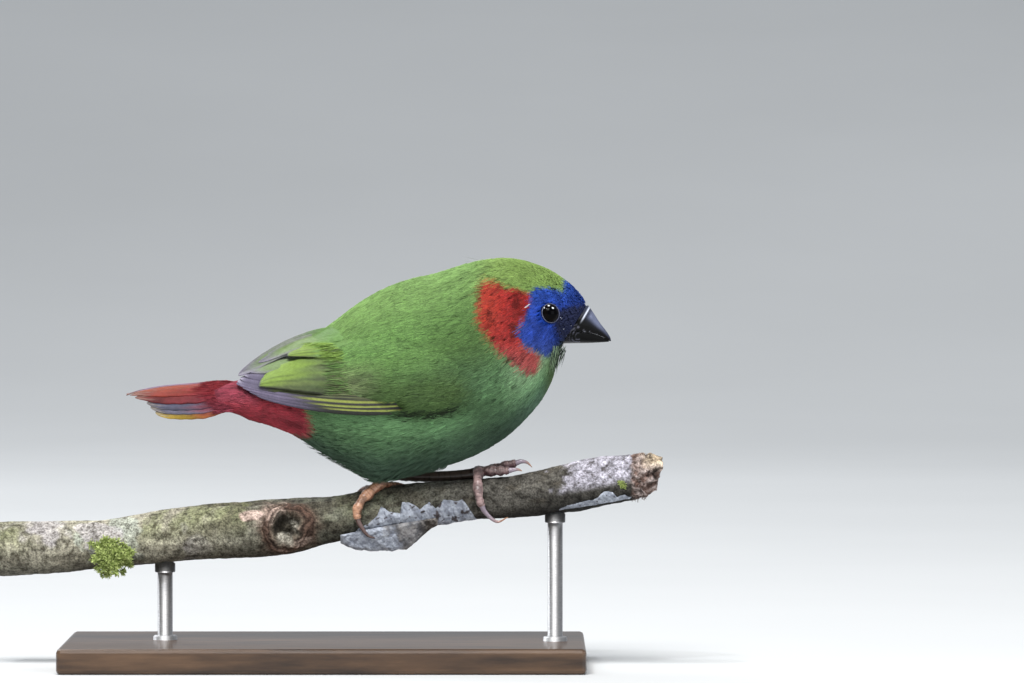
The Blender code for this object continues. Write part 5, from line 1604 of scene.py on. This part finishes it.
def build_moss():
    material = painted("moss_leaf", 0.7, 0.25, 1200.0, (0.7, 0.72, 0.6))
    moss_cushion("moss", (-42.6, -2.6, 22.0), (4.2, 3.0, 3.9), 172, 1.0, material)
    moss_cushion("moss_bud", (59.2, -9.1, 36.5), (0.8, 0.5, 0.8), 14, 0.6, material)


RODS = {"stand_rod_rear": -32.0, "stand_rod_front": 46.0}


def stretched_noise(shader, stretch, scale, detail=4.0, rough=0.55):
    """Noise drawn out along an axis, for the grain of wood and the lines of brushed steel."""
    mapping = shader.add("ShaderNodeMapping", Vector=shader.place(), Scale=stretch)
    return shader.noise(mapping.outputs["Vector"], scale, detail, rough)


def finish_stand():
    """Varnished wood and brushed steel on the stand's own solids."""
    wood = Shader("stand_wood", 0.38, specular=0.4, coat=0.3)
    rings = stretched_noise(wood, (0.12, 1.0, 1.0), 420.0, 6.0, 0.6)
    wood.colour(wood.ramp(rings, [(0.3, (0.030, 0.016, 0.009)), (0.5, (0.075, 0.040, 0.020)),
                                  (0.7, (0.12, 0.066, 0.034))]))
    wood.bump(rings, 0.15, 0.0003)
    steel = Shader("stand_steel", 0.42)
    steel.base.inputs["Metallic"].default_value = 1.0
    lines = stretched_noise(steel, (1.0, 1.0, 12.0), 900.0)
    steel.colour(steel.ramp(lines, [(0.3, (0.42, 0.42, 0.43)), (0.7, (0.66, 0.66, 0.66))]))
    steel.bump(lines, 0.1, 0.0001)
    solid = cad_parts["stand_base"]
    solid.data.materials.clear()
    solid.data.materials.append(wood.material)
    for name, x in RODS.items():
        row = perch_row(x)
        top = row[2] - row[3]
        profile = [(2.4, 5.0), (2.4, 5.7), (2.2, 5.9), (1.5, 6.0), (1.5, top - 1.7), (1.95, top - 1.6),
                   (2.05, top - 1.4), (2.05, top + 0.1), (1.2, top + 0.9)]
        radius, height = (np.repeat(np.array(part), 2)[:, None] for part in zip(*profile))
        turn = np.linspace(0, 2 * math.pi, 56, endpoint=False)
        spots = (x + radius * np.cos(turn), row[1] + radius * np.sin(turn), height + 0 * turn)
        thing = closed_tube(name, np.stack(spots, axis=-1))
        for face in thing.data.polygons:
            face.use_smooth = abs(face.normal.z) < 0.5
        keep(thing, "stand_steel", steel.material, name)


# Lamps: place and target in metres, size, power and colour.
BIRD = (0.005, 0.0, 0.06)
LAMPS = {
    "key": ((-0.1, -0.6, 1.0), BIRD, 0.55, 15.0, (1.0, 0.98, 0.95)),
    "fill": ((0.9, -0.8, 0.3), BIRD, 0.8, 4.0, (0.88, 0.93, 1.0)),
    "back": ((-0.5, 0.8, 0.9), BIRD, 0.7, 7.0, (0.95, 0.97, 1.0)),
    "spark_left": ((-0.30, -0.42, 0.92), BIRD, 0.03, 2.0, (0.9, 0.93, 1.0)),
    "spark_right": ((0.02, -0.58, 0.90), BIRD, 0.022, 1.2, (0.9, 0.93, 1.0)),
    "wall": ((0.3, 1.3, 1.6), (0.3, 3.0, 0.0), 1.2, 9.0, (0.96, 0.98, 1.0)),
}


def look_from(thing, spot, target):
    thing.location = spot
    thing.rotation_euler = (Vector(target) - Vector(spot)).to_track_quat("-Z", "Y").to_euler()
    bpy.context.scene.collection.objects.link(thing)


def build_stage():
    """A pale floor that sweeps up behind, soft lights and the camera."""
    shader = Shader("floor", 0.9, specular=0.1)
    clouds = shader.noise(shader.place(), 3.0)
    shader.colour(shader.ramp(clouds, [(0.3, (0.60, 0.61, 0.61)), (0.7, (0.64, 0.65, 0.65))]))
    depth = np.linspace(-3.0, 3.0, 60)
    x, j = np.meshgrid(np.linspace(-4, 4, 12), np.arange(60), indexing="ij")
    height = 0.32 * smooth(1.2, 3.0, depth) - 0.00005
    points = np.stack([x, depth[j], height[j]], axis=-1).reshape(-1, 3)
    floor = new_mesh_object("floor", points / MM, grid_faces(12, 60))
    floor.data.materials.append(shader.material)
    world = bpy.data.worlds.new("studio")
    bpy.context.scene.world = world
    world.use_nodes = True
    world.node_tree.nodes["Background"].inputs["Color"].default_value = (0.88, 0.93, 1.0, 1.0)
    world.node_tree.nodes["Background"].inputs["Strength"].default_value = 0.38
    for name, (spot, target, size, power, colour) in LAMPS.items():
        light = bpy.data.lights.new(name, "AREA")
        light.energy = power
        light.size = size
        light.color = colour
        lamp = bpy.data.objects.new(name, light)
        look_from(lamp, spot, target)
    camera = bpy.data.objects.new("camera", bpy.data.cameras.new("camera"))
    camera.data.lens = 264.0
    camera.data.sensor_width = 36.0
    camera.data.clip_start, camera.data.clip_end = 0.05, 20.0
    focus = Vector((0.0374, 0.0, 0.0647))
    tilt = math.radians(1.2)
    look_from(camera, focus + Vector((0.0, -math.cos(tilt), math.sin(tilt))) * 1.5, focus)
    bpy.context.scene.camera = camera
    bpy.context.scene.view_settings.view_transform = "Standard"


build_skin()
build_coat()
build_loose_barbs()
build_wings()
build_tail()
build_bill()
build_eyes()
build_feet()
build_perch()
build_lichen()
build_moss()
build_fibres()
finish_stand()
build_stage()
